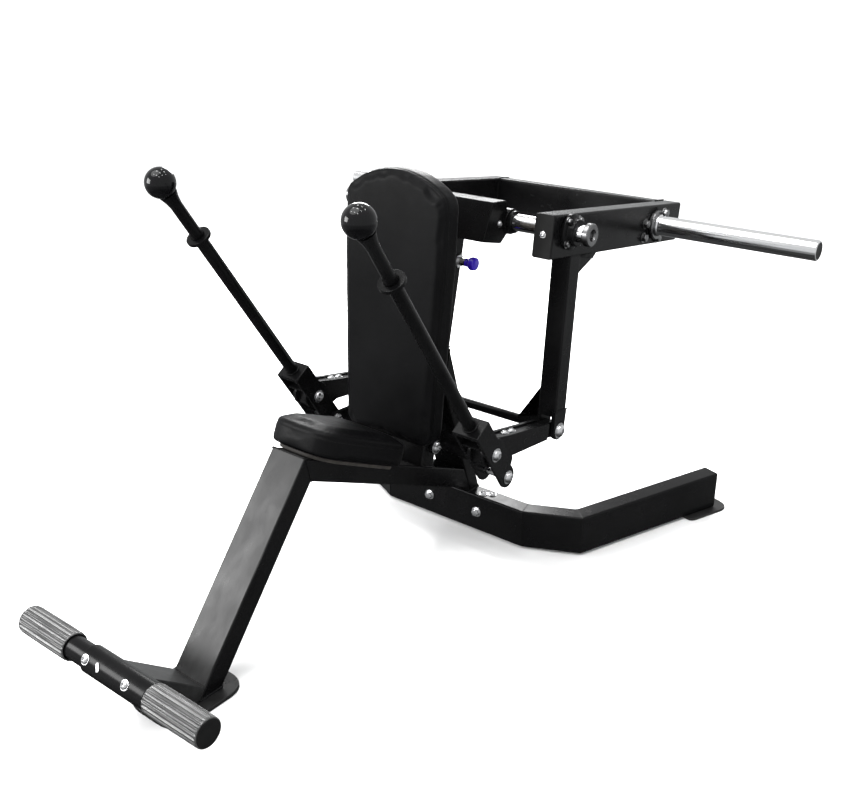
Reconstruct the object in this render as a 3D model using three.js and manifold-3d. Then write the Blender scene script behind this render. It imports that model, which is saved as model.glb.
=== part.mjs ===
// Plate-loaded hip thrust machine, in millimetres. +Z is up, +Y is to the rear of the machine, and X is
// across it: the user sits facing -Y, so +X is the user's left. The origin is on the floor, in the
// machine's mid-plane, at the front foot plate.
import * as THREE from "three";
import { mergeVertices } from "three/addons/utils/BufferGeometryUtils.js";
import Module from "manifold-3d";

const wasm = await Module();
wasm.setup();

// ---------------------------------------------------------------------------------------------------
// Driving dimensions
// ---------------------------------------------------------------------------------------------------
const GAP = 0.3; // left between pieces that touch
const WALL = 3; // of every square or rectangular steel tube
const FLAT = 100; // wide side of the main tube
const DEEP = 50; // narrow side of the main tube
const FINE = 32; // facets round a large round piece
const COARSE = 20; // facets round a small round piece

const BASE_BOTTOM = 6;
const BASE_TOP = 110;
const BASE_FRONT = 875; // front face of the horseshoe base
const BASE_OUTLINE = [
  [222, 875],
  [362, 942],
  [523, 1392],
]; // outer edge of its left half: front bend, side bend, rear end

const FLOOR_PLATE = 8; // thickness of the front foot plate
const LEG_LEAN = 38.2; // degrees from the vertical, top to the rear
const SPINE_SLOPE = 23.5; // degrees below the horizontal, to the rear
const ELBOW = [281, 436]; // [y, z] of the outer corner where leg and spine meet
const SPINE_END = 855; // y where the spine's top face ends

const FOOT_BAR = [-210, 154]; // [y, z] of its axis
const FOOT_BAR_HALF = 277;

const SEAT_BOARD = 8;
const SEAT_THICK = 62;
const SEAT_FRONT = 6; // from the elbow's outer corner, along the spine
const SEAT_REAR = 262;
const SEAT_HALF_FRONT = 90;
const SEAT_HALF_REAR = 121;

const POST_LEAN = 11.94; // degrees from the vertical, top to the rear
const POST_REAR = [740, 320]; // [y, z] of a point on the rear face
const BRACE_FRONT = 885; // y of the rear brace's front and rear edges where it stands on the base
const BRACE_REAR = 925;
const BRACE_FRONT_LEAN = 19.6; // degrees from the vertical, top to the front
const BRACE_REAR_LEAN = 17.5;
const BRACKET_HALF = 140; // half the width of the head bracket on top of the post

const AXLE = [898, 848]; // [y, z] of the weight carriage's axle
const AXLE_R = 20;
const CARRIAGE_TILT = 7; // degrees that the arms drop to the rear at rest
const ARM_X = 276; // middle of each arm
const ARM_FRONT = -68; // from the axle, along the arm
const ARM_REAR = 569;
const ARM_TOP = 40;
const HORN_Y = 430; // plate horn, behind the axle
const HORN_Z = -10;
const HORN_R = 25;
const HORN_END = 725; // x of its outer end
const LOWER_PIN = [901, 353]; // [y, z] where the links pull the carriage
const LOWER_PIN_R = 9.5;
const PIN_PLAY = 5.5; // all round that pin in the link's eye

const LEVER_X = 274; // middle of each hand lever
const LEVER_PIVOT = [670, 320]; // [y, z]
const CROSS_TUBE = [767, 300]; // [y, z] of the tube that carries both levers
const KNOB = [222, 991]; // [y, z] of the ball's centre
const KNOB_R = 33;
const LINK_RISE = 90; // from the lever's pivot up to the link's bolt
const HEAD_TOP = 184; // from the lever's pivot up to the top of the head
const HEAD_HALF_X = 35;
const HEAD_HALF_Y = 26;
const HEAD_PLATE = 8;
const COLLAR_AT = 650; // from the lever's pivot up to the collar
const BOLT_R = 8;

const BACK_HINGE = [722, 303]; // [y, z]
const BACK_LEAN = 3.9; // degrees from the vertical, top to the rear; the rest is measured from the hinge
const BACK_FRONT = -125; // y of the cushion's front face
const BACK_THICK = 54;
const BACK_BOARD = 8;
const BACK_HALF = 147; // from BACK_WAIST up
const BACK_HALF_LOW = 130; // at the bottom
const BACK_BOTTOM = 46;
const BACK_WAIST = 480;
const BACK_SHOULDER = 626; // z where the arched top begins
const BACK_TOP = 683;

const PULL_PIN = [814, 756]; // [y, z]
const SECTOR_HALF = 15; // half the radial width of the backrest's indexing bar
const SECTOR_X = 38; // middle of that bar
const SECTOR_THICK = 8;

// ---------------------------------------------------------------------------------------------------
// Shape tools
// ---------------------------------------------------------------------------------------------------
const radians = THREE.MathUtils.degToRad;

function toSolid(geometry) {
  const bare = geometry.clone();
  bare.deleteAttribute("normal");
  bare.deleteAttribute("uv");
  const merged = mergeVertices(bare, 1e-4);
  return new wasm.Manifold(
    new wasm.Mesh({
      numProp: 3,
      vertProperties: new Float32Array(merged.attributes.position.array),
      triVerts: new Uint32Array(merged.index.array),
    }),
  );
}

function toGeometry(solid) {
  const mesh = solid.getMesh();
  const geometry = new THREE.BufferGeometry();
  geometry.setAttribute("position", new THREE.BufferAttribute(mesh.vertProperties, 3));
  geometry.setIndex(new THREE.BufferAttribute(mesh.triVerts, 1));
  return geometry;
}

function join(...geometries) {
  return toGeometry(geometries.map(toSolid).reduce((all, next) => all.add(next)));
}

function cut(geometry, ...cutters) {
  return toGeometry(cutters.map(toSolid).reduce((left, cutter) => left.subtract(cutter), toSolid(geometry)));
}

// Which way each kind of prism is drawn: its outline's two axes, then the way it is extruded.
const DRAWN = {
  x: new THREE.Matrix4().makeBasis(
    new THREE.Vector3(0, 1, 0),
    new THREE.Vector3(0, 0, 1),
    new THREE.Vector3(1, 0, 0),
  ),
  y: new THREE.Matrix4().makeBasis(
    new THREE.Vector3(1, 0, 0),
    new THREE.Vector3(0, 0, 1),
    new THREE.Vector3(0, -1, 0),
  ),
  z: new THREE.Matrix4(),
};

// A prism centred on the plane where its extrusion axis is zero. outline is a Shape or a list of points.
function prism(outline, thickness, axis) {
  const shape = Array.isArray(outline)
    ? new THREE.Shape(outline.map(([a, b]) => new THREE.Vector2(a, b)))
    : outline;
  const geometry = new THREE.ExtrudeGeometry(shape, {
    depth: thickness,
    bevelEnabled: false,
    curveSegments: 8,
  });
  geometry.translate(0, 0, -thickness / 2);
  return geometry.applyMatrix4(DRAWN[axis]);
}

// An outline with its corners rounded; each corner is [a, b, radius].
function rounded(corners) {
  const shape = new THREE.Shape();
  corners.forEach(([a, b, radius], i) => {
    const here = new THREE.Vector2(a, b);
    const before = new THREE.Vector2(...corners.at(i - 1));
    const after = new THREE.Vector2(...corners[(i + 1) % corners.length]);
    const enter = here.clone().add(before.sub(here).setLength(radius));
    const leave = here.clone().add(after.sub(here).setLength(radius));
    if (i === 0) shape.moveTo(enter.x, enter.y);
    else shape.lineTo(enter.x, enter.y);
    shape.quadraticCurveTo(a, b, leave.x, leave.y);
  });
  shape.closePath();
  return shape;
}

// A hollow tube with flat sides. Its outline is two long edges, first and second, each from start to
// end; the wall is taken off both of them and off the two extruded faces, and the ends stay open.
function hollow(first, second, thickness, axis) {
  const past = 60; // how far the hollow runs out through each end
  const [a0, a1] = first.map(([a, b]) => new THREE.Vector2(a, b));
  const [b0, b1] = second.map(([a, b]) => new THREE.Vector2(a, b));
  const along = a1.clone().sub(a0).normalize();
  const across = new THREE.Vector2(-along.y, along.x);
  if (across.dot(b0.clone().sub(a0)) < 0) across.negate();
  const shift = (point, inward, onward) =>
    point.clone().addScaledVector(across, inward).addScaledVector(along, onward).toArray();
  const outside = prism([...first, second[1], second[0]], thickness, axis);
  const inside = prism(
    [shift(a0, WALL, -past), shift(a1, WALL, past), shift(b1, -WALL, past), shift(b0, -WALL, -past)],
    thickness - 2 * WALL,
    axis,
  );
  return cut(outside, inside);
}

// A solid turned about the X axis; the profile is [radius, x] from the lowest x to the highest.
function turned(profile, facets) {
  const points = profile.map(([r, x]) => new THREE.Vector2(r, x));
  const geometry = new THREE.LatheGeometry(points, facets);
  return geometry.rotateZ(-Math.PI / 2);
}

function roundBar(radius, fromX, toX, facets = FINE) {
  return turned([[0, fromX], [radius, fromX], [radius, toX], [0, toX]], facets);
}

// A ring about the X axis.
function ring(outer, inner, fromX, toX, facets = FINE) {
  return cut(roundBar(outer, fromX, toX, facets), roundBar(inner, fromX - 1, toX + 1, facets));
}

const at = (geometry, [y, z]) => geometry.translate(0, y, z);
const standing = (geometry) => geometry.rotateY(-Math.PI / 2); // its X axis turned up to Z

// A bolt or pin along X with a low domed head on one end or on both.
function bolt(radius, headRadius, fromX, toX, headAtStart) {
  const head = headRadius * 0.6;
  const dome = (x, way) => [
    [headRadius, x],
    [headRadius, x + way * head * 0.4],
    [headRadius * 0.75, x + way * head * 0.85],
    [0, x + way * head],
  ];
  const start = headAtStart ? dome(fromX, -1).reverse() : [[0, fromX]];
  return turned([...start, [radius, fromX], [radius, toX], ...dome(toX, 1)], COARSE);
}

// ---------------------------------------------------------------------------------------------------
// Materials and placing
// ---------------------------------------------------------------------------------------------------
const FINISHES = {
  black_paint: { color: 0x121214, roughness: 0.32, metalness: 0.2 },
  chrome: { color: 0xd2d4d8, roughness: 0.15, metalness: 1 },
  vinyl: { color: 0x101012, roughness: 0.5, metalness: 0 },
  plywood: { color: 0x2a231c, roughness: 0.8, metalness: 0 },
  grip_rubber: { color: 0x8f9092, roughness: 0.55, metalness: 0 },
  black_rubber: { color: 0x0c0c0d, roughness: 0.7, metalness: 0 },
  blue_plastic: { color: 0x2c1ca8, roughness: 0.35, metalness: 0 },
};

const machine = new THREE.Group();
machine.name = "hip_thrust_machine";

function place(name, finish, geometry, parent = machine) {
  const mesh = new THREE.Mesh(geometry, new THREE.MeshStandardMaterial(FINISHES[finish]));
  mesh.name = name;
  parent.add(mesh);
  return mesh;
}

function turnedGroup(x, [y, z], degrees, parent = machine) {
  const group = new THREE.Group();
  group.position.set(x, y, z);
  group.rotation.x = radians(degrees);
  parent.add(group);
  return group;
}

const SIDES = [
  ["left", 1],
  ["right", -1],
];

// ---------------------------------------------------------------------------------------------------
// Base: a horseshoe of five mitred tubes, open to the rear, on two foot plates
// ---------------------------------------------------------------------------------------------------
const baseHeight = BASE_TOP - BASE_BOTTOM;
const baseMiddle = (BASE_TOP + BASE_BOTTOM) / 2;
const [frontBend, sideBend, rearEnd] = BASE_OUTLINE.map(([x, y]) => new THREE.Vector2(x, y));
const headings = [
  new THREE.Vector2(1, 0),
  sideBend.clone().sub(frontBend).normalize(),
  rearEnd.clone().sub(sideBend).normalize(),
];
const inwards = headings.map((d) => new THREE.Vector2(-d.y, d.x));

// The inner corner of a bend between two tubes, and of the square-cut rear end.
function innerCorner(outer, before, after) {
  const sum = before.clone().add(after);
  return outer.clone().addScaledVector(sum, DEEP / (1 + before.dot(after)));
}
const frontBendInner = innerCorner(frontBend, inwards[0], inwards[1]);
const sideBendInner = innerCorner(sideBend, inwards[1], inwards[2]);
const rearEndInner = innerCorner(rearEnd, inwards[2], inwards[2]);

// One tube of the base, drawn from its outer and inner edges and kept clear of the next one.
function baseTube(outer, inner, heading, startClear, side) {
  const trimmed = (edge) => {
    const start = edge[0].clone().addScaledVector(heading, startClear);
    const end = edge[1].clone().addScaledVector(heading, -GAP / 2);
    return [start, end].map((p) => [side * p.x, p.y]);
  };
  return hollow(trimmed(outer), trimmed(inner), baseHeight, "z").translate(0, 0, baseMiddle);
}

const acrossFront = [new THREE.Vector2(-frontBend.x, BASE_FRONT), frontBend];
const acrossFrontInner = [new THREE.Vector2(-frontBendInner.x, frontBendInner.y), frontBendInner];
place("base_front_tube", "black_paint", baseTube(acrossFront, acrossFrontInner, headings[0], GAP / 2, 1));

for (const [name, side] of SIDES) {
  const corner = [frontBend, sideBend];
  const cornerInner = [frontBendInner, sideBendInner];
  place(
    `base_corner_${name}`,
    "black_paint",
    baseTube(corner, cornerInner, headings[1], GAP / 2, side),
  );
  const rail = [sideBend, rearEnd];
  const railInner = [sideBendInner, rearEndInner];
  place(`base_rail_${name}`, "black_paint", baseTube(rail, railInner, headings[2], GAP / 2, side));

  const footLength = 150;
  const footWidth = 92;
  const footPast = 44; // how far it reaches beyond the rail's end
  const middle = rearEnd.clone().add(rearEndInner).multiplyScalar(0.5);
  middle.addScaledVector(headings[2], footPast - footLength / 2);
  const corners = [
    [footWidth / 2, -footLength / 2, 20],
    [footWidth / 2, footLength / 2, 40],
    [-footWidth / 2, footLength / 2, 40],
    [-footWidth / 2, -footLength / 2, 20],
  ];
  const thick = BASE_BOTTOM - GAP;
  const plate = place(`rear_foot_${name}`, "black_rubber", prism(rounded(corners), thick, "z"));
  plate.position.set(side * middle.x, middle.y, thick / 2);
  plate.rotation.z = -side * Math.atan2(headings[2].x, headings[2].y);
}

// ---------------------------------------------------------------------------------------------------
// Front leg and spine: one bent line of main tube, mitred at the elbow
// ---------------------------------------------------------------------------------------------------
const legLean = radians(LEG_LEAN);
const spineSlope = radians(SPINE_SLOPE);
const elbow = new THREE.Vector2(...ELBOW);
const upLeg = new THREE.Vector2(Math.sin(legLean), Math.cos(legLean));
const downSpine = new THREE.Vector2(Math.cos(spineSlope), -Math.sin(spineSlope));
const behindLeg = new THREE.Vector2(upLeg.y, -upLeg.x);
const underSpine = new THREE.Vector2(downSpine.y, -downSpine.x);

// Where two lines in the side view meet, each given by a point and a direction.
function meet(p, d, q, e) {
  const between = q.clone().sub(p);
  return p.clone().addScaledVector(d, between.cross(e) / d.cross(e));
}
const level = (z) => [new THREE.Vector2(0, z), new THREE.Vector2(1, 0)];
const legRearLine = elbow.clone().addScaledVector(behindLeg, DEEP);
const spineUnderLine = elbow.clone().addScaledVector(underSpine, DEEP);
const elbowInner = meet(legRearLine, upLeg, spineUnderLine, downSpine);

const legFoot = level(FLOOR_PLATE + GAP);
const legFrontFoot = meet(elbow, upLeg, ...legFoot);
const legRearFoot = meet(legRearLine, upLeg, ...legFoot);
const shortOf = (point, way) => point.clone().addScaledVector(way, -GAP / 2).toArray();
place(
  "front_leg",
  "black_paint",
  hollow(
    [legFrontFoot.toArray(), shortOf(elbow, upLeg)],
    [legRearFoot.toArray(), shortOf(elbowInner, upLeg)],
    FLAT,
    "x",
  ),
);

function onSpineTop(y, lift = 0) {
  return [y, ELBOW[1] - (y - ELBOW[0]) * Math.tan(spineSlope) + lift];
}
const spineDrop = DEEP / Math.cos(spineSlope);
const pastElbow = (point) => point.clone().addScaledVector(downSpine, GAP / 2).toArray();
const endPlateFoot = 884; // y where the end plate's rear face meets the base
const endPlateThick = 12;
const spineTube = hollow(
  [pastElbow(elbow), onSpineTop(SPINE_END - endPlateThick / 2)],
  [pastElbow(elbowInner), onSpineTop(SPINE_END + endPlateThick, -spineDrop)],
  FLAT,
  "x",
);
const spineEndPlate = prism(
  [
    onSpineTop(SPINE_END - endPlateThick),
    onSpineTop(SPINE_END),
    [endPlateFoot, BASE_TOP + GAP],
    [endPlateFoot - endPlateThick, BASE_TOP + GAP],
  ],
  FLAT,
  "x",
);
place("spine", "black_paint", join(spineTube, spineEndPlate));

const frontPlate = [
  [82, -146, 55],
  [82, 52, 55],
  [-82, 52, 55],
  [-82, -146, 55],
];
place(
  "front_foot_plate",
  "black_paint",
  prism(rounded(frontPlate), FLOOR_PLATE, "z").translate(0, 0, FLOOR_PLATE / 2),
);

// ---------------------------------------------------------------------------------------------------
// Foot bar: a wedge-shaped arm from the leg's foot, a sleeve, a tube through it and two ribbed grips
// ---------------------------------------------------------------------------------------------------
const sleeveR = 29.5;
const footTubeR = 25;
const sleeveFrom = -65;
const gripFrom = 124;
const gripR = 31;
const clearOfLeg = GAP + 0.2;
const onLegFront = (z) => {
  const [y] = meet(elbow, upLeg, ...level(z)).toArray();
  return [y - clearOfLeg, z];
};
place(
  "foot_bar_arm",
  "black_paint",
  cut(
    prism(
      [
        [FOOT_BAR[0] + 12, FOOT_BAR[1] + 8],
        onLegFront(34),
        onLegFront(FLOOR_PLATE + GAP),
        [-78, FLOOR_PLATE + GAP],
        [FOOT_BAR[0] + 2, FOOT_BAR[1] - 16],
      ],
      FLAT,
      "x",
    ),
    at(roundBar(sleeveR + GAP, -FLAT, FLAT), FOOT_BAR),
  ),
);
const sleeve = ring(sleeveR, footTubeR + GAP, sleeveFrom, gripFrom - GAP);
place("foot_bar_sleeve", "black_paint", at(sleeve, FOOT_BAR));
const footTube = roundBar(footTubeR, -FOOT_BAR_HALF + 12, FOOT_BAR_HALF - 12);
place("foot_bar_tube", "black_paint", at(footTube, FOOT_BAR));

// A cup that slides over the tube's end, with ribs along it.
function ribbedGrip(side) {
  const ribs = 22;
  const valley = 1.6;
  const steps = ribs * 4;
  const outline = Array.from({ length: steps }, (_, i) => {
    const radius = gripR - (i % 4 < 2 ? 0 : valley);
    const angle = (i / steps) * 2 * Math.PI;
    return [radius * Math.cos(angle), radius * Math.sin(angle)];
  });
  const length = FOOT_BAR_HALF - gripFrom;
  const body = prism(outline, length, "x").translate(side * (gripFrom + length / 2), 0, 0);
  const reach = [side * (gripFrom - 1), side * (FOOT_BAR_HALF - 12 + GAP)].sort((a, b) => a - b);
  return cut(body, roundBar(footTubeR + GAP, ...reach));
}
for (const [name, side] of SIDES)
  place(`foot_grip_${name}`, "grip_rubber", at(ribbedGrip(side), FOOT_BAR));

// ---------------------------------------------------------------------------------------------------
// Seat, on the spine and sloping with it
// ---------------------------------------------------------------------------------------------------
const seat = turnedGroup(0, ELBOW, -SPINE_SLOPE);
const seatOutline = (inset) =>
  rounded([
    [-SEAT_HALF_FRONT + inset, SEAT_FRONT + inset, 62],
    [SEAT_HALF_FRONT - inset, SEAT_FRONT + inset, 62],
    [SEAT_HALF_REAR - inset, SEAT_REAR - inset, 28],
    [-SEAT_HALF_REAR + inset, SEAT_REAR - inset, 28],
  ]);
place("seat_board", "plywood", prism(seatOutline(14), SEAT_BOARD, "z"), seat).position.z =
  SEAT_BOARD / 2 + GAP;
place("seat_pad", "vinyl", prism(seatOutline(0), SEAT_THICK, "z"), seat).position.z =
  SEAT_BOARD + SEAT_THICK / 2 + 2 * GAP;

// ---------------------------------------------------------------------------------------------------
// Post with the head bracket that holds the carriage's axle
// ---------------------------------------------------------------------------------------------------
const postLean = radians(POST_LEAN);
const onPost = (z, ahead) => POST_REAR[0] + (z - POST_REAR[1]) * Math.tan(postLean) - ahead;
const postDepth = DEEP / Math.cos(postLean);
// The post's foot follows the spine's top face, and its top follows the bracket's underside.
const bracketUnder = [
  [790, 818],
  [862, 802],
];
function postCorner(ahead, [y0, z0], [y1, z1]) {
  const start = new THREE.Vector2(onPost(0, ahead), 0);
  const up = new THREE.Vector2(Math.tan(postLean), 1);
  const across = new THREE.Vector2(y1 - y0, z1 - z0);
  return meet(start, up, new THREE.Vector2(y0, z0), across).toArray();
}
const postFoot = [onSpineTop(600, GAP), onSpineTop(800, GAP)];
const postTop = bracketUnder.map(([y, z]) => [y, z - GAP]);
const sectorSlot = new THREE.BoxGeometry(SECTOR_THICK + 6, 84, 58).translate(SECTOR_X, 806, 755);
place(
  "post",
  "black_paint",
  cut(
    hollow(
      [postCorner(0, ...postFoot), postCorner(0, ...postTop)],
      [postCorner(postDepth, ...postFoot), postCorner(postDepth, ...postTop)],
      FLAT,
      "x",
    ),
    sectorSlot,
    at(roundBar(5.4, SECTOR_X, FLAT, COARSE), PULL_PIN),
    at(roundBar(BOLT_R + GAP, -FLAT, FLAT, COARSE), BACK_HINGE),
  ),
);

// A brace behind the post, from the base's front tube up to the post's rear face.
function braceEdge(y, lean) {
  const foot = new THREE.Vector2(y, BASE_TOP + GAP);
  const up = new THREE.Vector2(-Math.sin(radians(lean)), Math.cos(radians(lean)));
  const behindPost = new THREE.Vector2(onPost(0, -GAP - 0.1), 0);
  const upPost = new THREE.Vector2(Math.sin(postLean), Math.cos(postLean));
  return [foot.toArray(), meet(foot, up, behindPost, upPost).toArray()];
}
const braceRear = braceEdge(BRACE_REAR, BRACE_REAR_LEAN);
const braceFront = braceEdge(BRACE_FRONT, BRACE_FRONT_LEAN);
place("rear_brace", "black_paint", hollow(braceRear, braceFront, FLAT, "x"));

place(
  "head_bracket",
  "black_paint",
  cut(
    prism(
      [[826, 905], [880, 900], [894, 826], bracketUnder[1], bracketUnder[0], [826, 862]],
      2 * BRACKET_HALF,
      "x",
    ),
    at(roundBar(AXLE_R + GAP, -2 * BRACKET_HALF, 2 * BRACKET_HALF), AXLE),
  ),
);

const axleEnd = 345;
place("axle", "chrome", at(roundBar(AXLE_R, -axleEnd, axleEnd), AXLE));
for (const [name, side] of SIDES) {
  const cap = turned(
    [[0, 0], [24, 0], [26.5, 3], [26.5, 13], [24, 16], [11, 16], [9, 10], [0, 10]],
    FINE,
  );
  const mesh = place(`axle_cap_${name}`, "chrome", cap);
  mesh.position.set(side * (axleEnd + GAP), ...AXLE);
  mesh.rotation.z = side > 0 ? 0 : Math.PI;
}

// ---------------------------------------------------------------------------------------------------
// Cross tube behind the post, and at each end a bracket that reaches forward to its lever's pivot
// ---------------------------------------------------------------------------------------------------
const bracketThick = 12;
const bracketX = 230; // middle of each bracket
const crossR = 25;
const crossHalf = bracketX - bracketThick / 2 - GAP;
const crossSaddle = prism(
  [
    [onPost(CROSS_TUBE[1] - 18, -GAP), CROSS_TUBE[1] - 18],
    [CROSS_TUBE[0], CROSS_TUBE[1] - 18],
    [CROSS_TUBE[0], CROSS_TUBE[1] + 18],
    [onPost(CROSS_TUBE[1] + 18, -GAP), CROSS_TUBE[1] + 18],
  ],
  FLAT - 10,
  "x",
);
const crossTube = at(roundBar(crossR, -crossHalf, crossHalf), CROSS_TUBE);
place("lever_cross_tube", "black_paint", join(crossTube, crossSaddle));

// The bracket's plate is two round ends joined by their outer tangents; it carries the pivot bolt.
function leverBracket() {
  const tubeEnd = 33; // its radius round the cross tube
  const pivotEnd = 17;
  const way = new THREE.Vector2(LEVER_PIVOT[0] - CROSS_TUBE[0], LEVER_PIVOT[1] - CROSS_TUBE[1]);
  const heading = way.angle();
  const tangent = Math.acos((tubeEnd - pivotEnd) / way.length());
  const outline = new THREE.Shape();
  outline.absarc(...LEVER_PIVOT, pivotEnd, heading - tangent, heading + tangent, false);
  outline.absarc(...CROSS_TUBE, tubeEnd, heading + tangent, heading - tangent + 2 * Math.PI, false);
  outline.closePath();
  const plate = prism(outline, bracketThick, "x").translate(bracketX, 0, 0);
  const pivotEndX = LEVER_X + HEAD_HALF_X + 0.6;
  return join(plate, at(bolt(BOLT_R, 13, bracketX, pivotEndX, false), LEVER_PIVOT));
}
for (const [name, side] of SIDES) {
  const bracket = leverBracket();
  place(`lever_bracket_${name}`, "black_paint", side > 0 ? bracket : mirroredInX(bracket));
}

// The same solid on the other side of the mid-plane, its faces still pointing out.
function mirroredInX(geometry) {
  const mirrored = geometry.clone().scale(-1, 1, 1);
  const order = mirrored.index.array;
  for (let i = 0; i < order.length; i += 3) [order[i + 1], order[i + 2]] = [order[i + 2], order[i + 1]];
  return mirrored;
}

// ---------------------------------------------------------------------------------------------------
// Weight carriage: two arms, a rear beam, two hanging bars and the plate horns, one rigid piece
// that turns on the axle. Its own Y runs along the arms and its origin is on the axle.
// ---------------------------------------------------------------------------------------------------
const carriage = turnedGroup(0, AXLE, -CARRIAGE_TILT);
const armBottom = ARM_TOP - FLAT;

// A point of the side view at rest, in the carriage's own directions.
function inCarriage([y, z]) {
  const point = new THREE.Vector2(y - AXLE[0], z - AXLE[1]);
  return point.rotateAround(new THREE.Vector2(), radians(CARRIAGE_TILT)).toArray();
}
const lowerPin = inCarriage(LOWER_PIN);
const lugHoleR = LOWER_PIN_R + GAP;
const beamInner = ARM_X - DEEP / 2 - GAP;

place(
  "carriage_rear_beam",
  "black_paint",
  hollow(
    [[-beamInner, ARM_REAR - DEEP], [beamInner, ARM_REAR - DEEP]],
    [[-beamInner, ARM_REAR], [beamInner, ARM_REAR]],
    FLAT,
    "z",
  ).translate(0, 0, ARM_TOP - FLAT / 2),
  carriage,
);
const rodEnd = ARM_X - DEEP / 2 - GAP;
place("carriage_lower_rod", "black_paint", at(roundBar(12, -rodEnd, rodEnd, COARSE), lowerPin), carriage);

for (const [name, side] of SIDES) {
  const arm = hollow(
    [[ARM_FRONT, ARM_TOP], [ARM_REAR, ARM_TOP]],
    [[ARM_FRONT, armBottom], [ARM_REAR, armBottom]],
    DEEP,
    "x",
  );
  const armBored = cut(arm, roundBar(AXLE_R + 1, -DEEP, DEEP));
  place(`carriage_arm_${name}`, "black_paint", armBored, carriage).position.x = side * ARM_X;

  // The hanging bar is a tube with two lugs under it and a knee gusset up to the arm.
  const top = armBottom - GAP;
  const barFrontTop = [17, top];
  const barFrontFoot = [37, lowerPin[1] + 38];
  const barDeep = 50;
  const barRearTop = barFrontTop[0] + barDeep;
  const [footY, footZ] = barFrontFoot;
  const tube = hollow(
    [barFrontTop, barFrontFoot],
    [[barRearTop, top], [footY + barDeep, footZ]],
    DEEP,
    "x",
  );
  const lugThick = 10;
  const lug = new THREE.Shape();
  lug.moveTo(footY - 2, footZ + 14);
  lug.lineTo(lowerPin[0] - 24, lowerPin[1]);
  lug.absarc(...lowerPin, 24, Math.PI, 2 * Math.PI, false);
  lug.lineTo(footY + barDeep + 2, footZ + 14);
  lug.closePath();
  const lugs = [-1, 1].map((end) =>
    prism(lug, lugThick, "x").translate((end * (DEEP - lugThick)) / 2, 0, 0),
  );
  const gusset = prism(
    [[barRearTop - 1, top], [barRearTop + 80, top], [barRearTop - 1, top - 46]],
    DEEP - 6,
    "x",
  );
  const hole = at(roundBar(lugHoleR, -DEEP, DEEP, COARSE), lowerPin);
  const bar = cut(join(tube, ...lugs, gusset), hole);
  place(`carriage_bar_${name}`, "black_paint", bar, carriage).position.x = side * ARM_X;

  const pin = bolt(LOWER_PIN_R, 16, ARM_X - DEEP / 2, ARM_X + DEEP / 2 + 1, false);
  const pinPlaced = at(pin, lowerPin);
  place(
    `carriage_lower_pin_${name}`,
    "chrome",
    side > 0 ? pinPlaced : mirroredInX(pinPlaced),
    carriage,
  );

  // Flanged bearing on the arm's outer face.
  const outerFace = ARM_X + DEEP / 2 + GAP;
  const bearing = cut(
    turned(
      [[0, 0], [41, 0], [41, 9], [31, 15], [31, 26], [0, 26]],
      FINE,
    ),
    roundBar(AXLE_R + 0.5, -1, 27),
  );
  const bearingMesh = place(`axle_bearing_${name}`, "black_paint", bearing, carriage);
  bearingMesh.position.x = side * outerFace;
  bearingMesh.rotation.y = side > 0 ? 0 : Math.PI;

  // Plate horn: a round flange on the arm and a solid bar for the weight plates.
  const flangeThick = 12;
  const flange = roundBar(37, 0, flangeThick);
  const flangeMesh = place(`horn_flange_${name}`, "chrome", flange, carriage);
  flangeMesh.position.set(side * outerFace, HORN_Y, HORN_Z);
  flangeMesh.rotation.y = side > 0 ? 0 : Math.PI;
  const hornFrom = outerFace + flangeThick + GAP;
  const hornLong = HORN_END - hornFrom;
  const horn = turned(
    [[0, 0], [HORN_R, 0], [HORN_R, hornLong - 3], [HORN_R - 3, hornLong], [0, hornLong]],
    FINE,
  );
  const hornMesh = place(`plate_horn_${name}`, "chrome", horn, carriage);
  hornMesh.position.set(side * hornFrom, HORN_Y, HORN_Z);
  hornMesh.rotation.y = side > 0 ? 0 : Math.PI;
}

// ---------------------------------------------------------------------------------------------------
// Hand levers and links. A lever's own Z runs from its pivot up to the ball.
// ---------------------------------------------------------------------------------------------------
const leverLine = new THREE.Vector2(KNOB[0] - LEVER_PIVOT[0], KNOB[1] - LEVER_PIVOT[1]);
const leverLong = leverLine.length();
const leverLean = Math.atan2(-leverLine.x, leverLine.y);
const linkBolt = new THREE.Vector2(...LEVER_PIVOT).addScaledVector(leverLine, LINK_RISE / leverLong);
const linkLine = new THREE.Vector2(...LOWER_PIN).sub(linkBolt);
const linkLong = linkLine.length();

function leverHead() {
  const cheek = new THREE.Shape();
  cheek.moveTo(HEAD_HALF_Y, HEAD_TOP);
  cheek.lineTo(-HEAD_HALF_Y, HEAD_TOP);
  cheek.lineTo(-HEAD_HALF_Y, 0);
  cheek.absarc(0, 0, HEAD_HALF_Y, Math.PI, 2 * Math.PI, false);
  cheek.closePath();
  const cheeks = [-1, 1].map((end) =>
    prism(cheek, HEAD_PLATE, "x").translate(end * (HEAD_HALF_X - HEAD_PLATE / 2), 0, 0),
  );
  const lid = new THREE.BoxGeometry(2 * HEAD_HALF_X - 2, 2 * HEAD_HALF_Y, 12);
  lid.translate(0, 0, HEAD_TOP - 6);
  const rodHole = standing(roundBar(15 + GAP, HEAD_TOP - 40, HEAD_TOP + 10, COARSE));
  const boltHoles = [0, LINK_RISE].map((z) =>
    at(roundBar(BOLT_R + 0.5, -2 * HEAD_HALF_X, 2 * HEAD_HALF_X, COARSE), [0, z]),
  );
  return cut(join(...cheeks, lid), rodHole, ...boltHoles);
}

function leverRod() {
  const from = 148;
  const to = leverLong - KNOB_R + 5 - GAP;
  return standing(
    turned(
      [[0, from], [15, from], [15, COLLAR_AT + 14], [13.5, COLLAR_AT + 20], [13.5, to], [0, to]],
      COARSE,
    ),
  );
}

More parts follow.
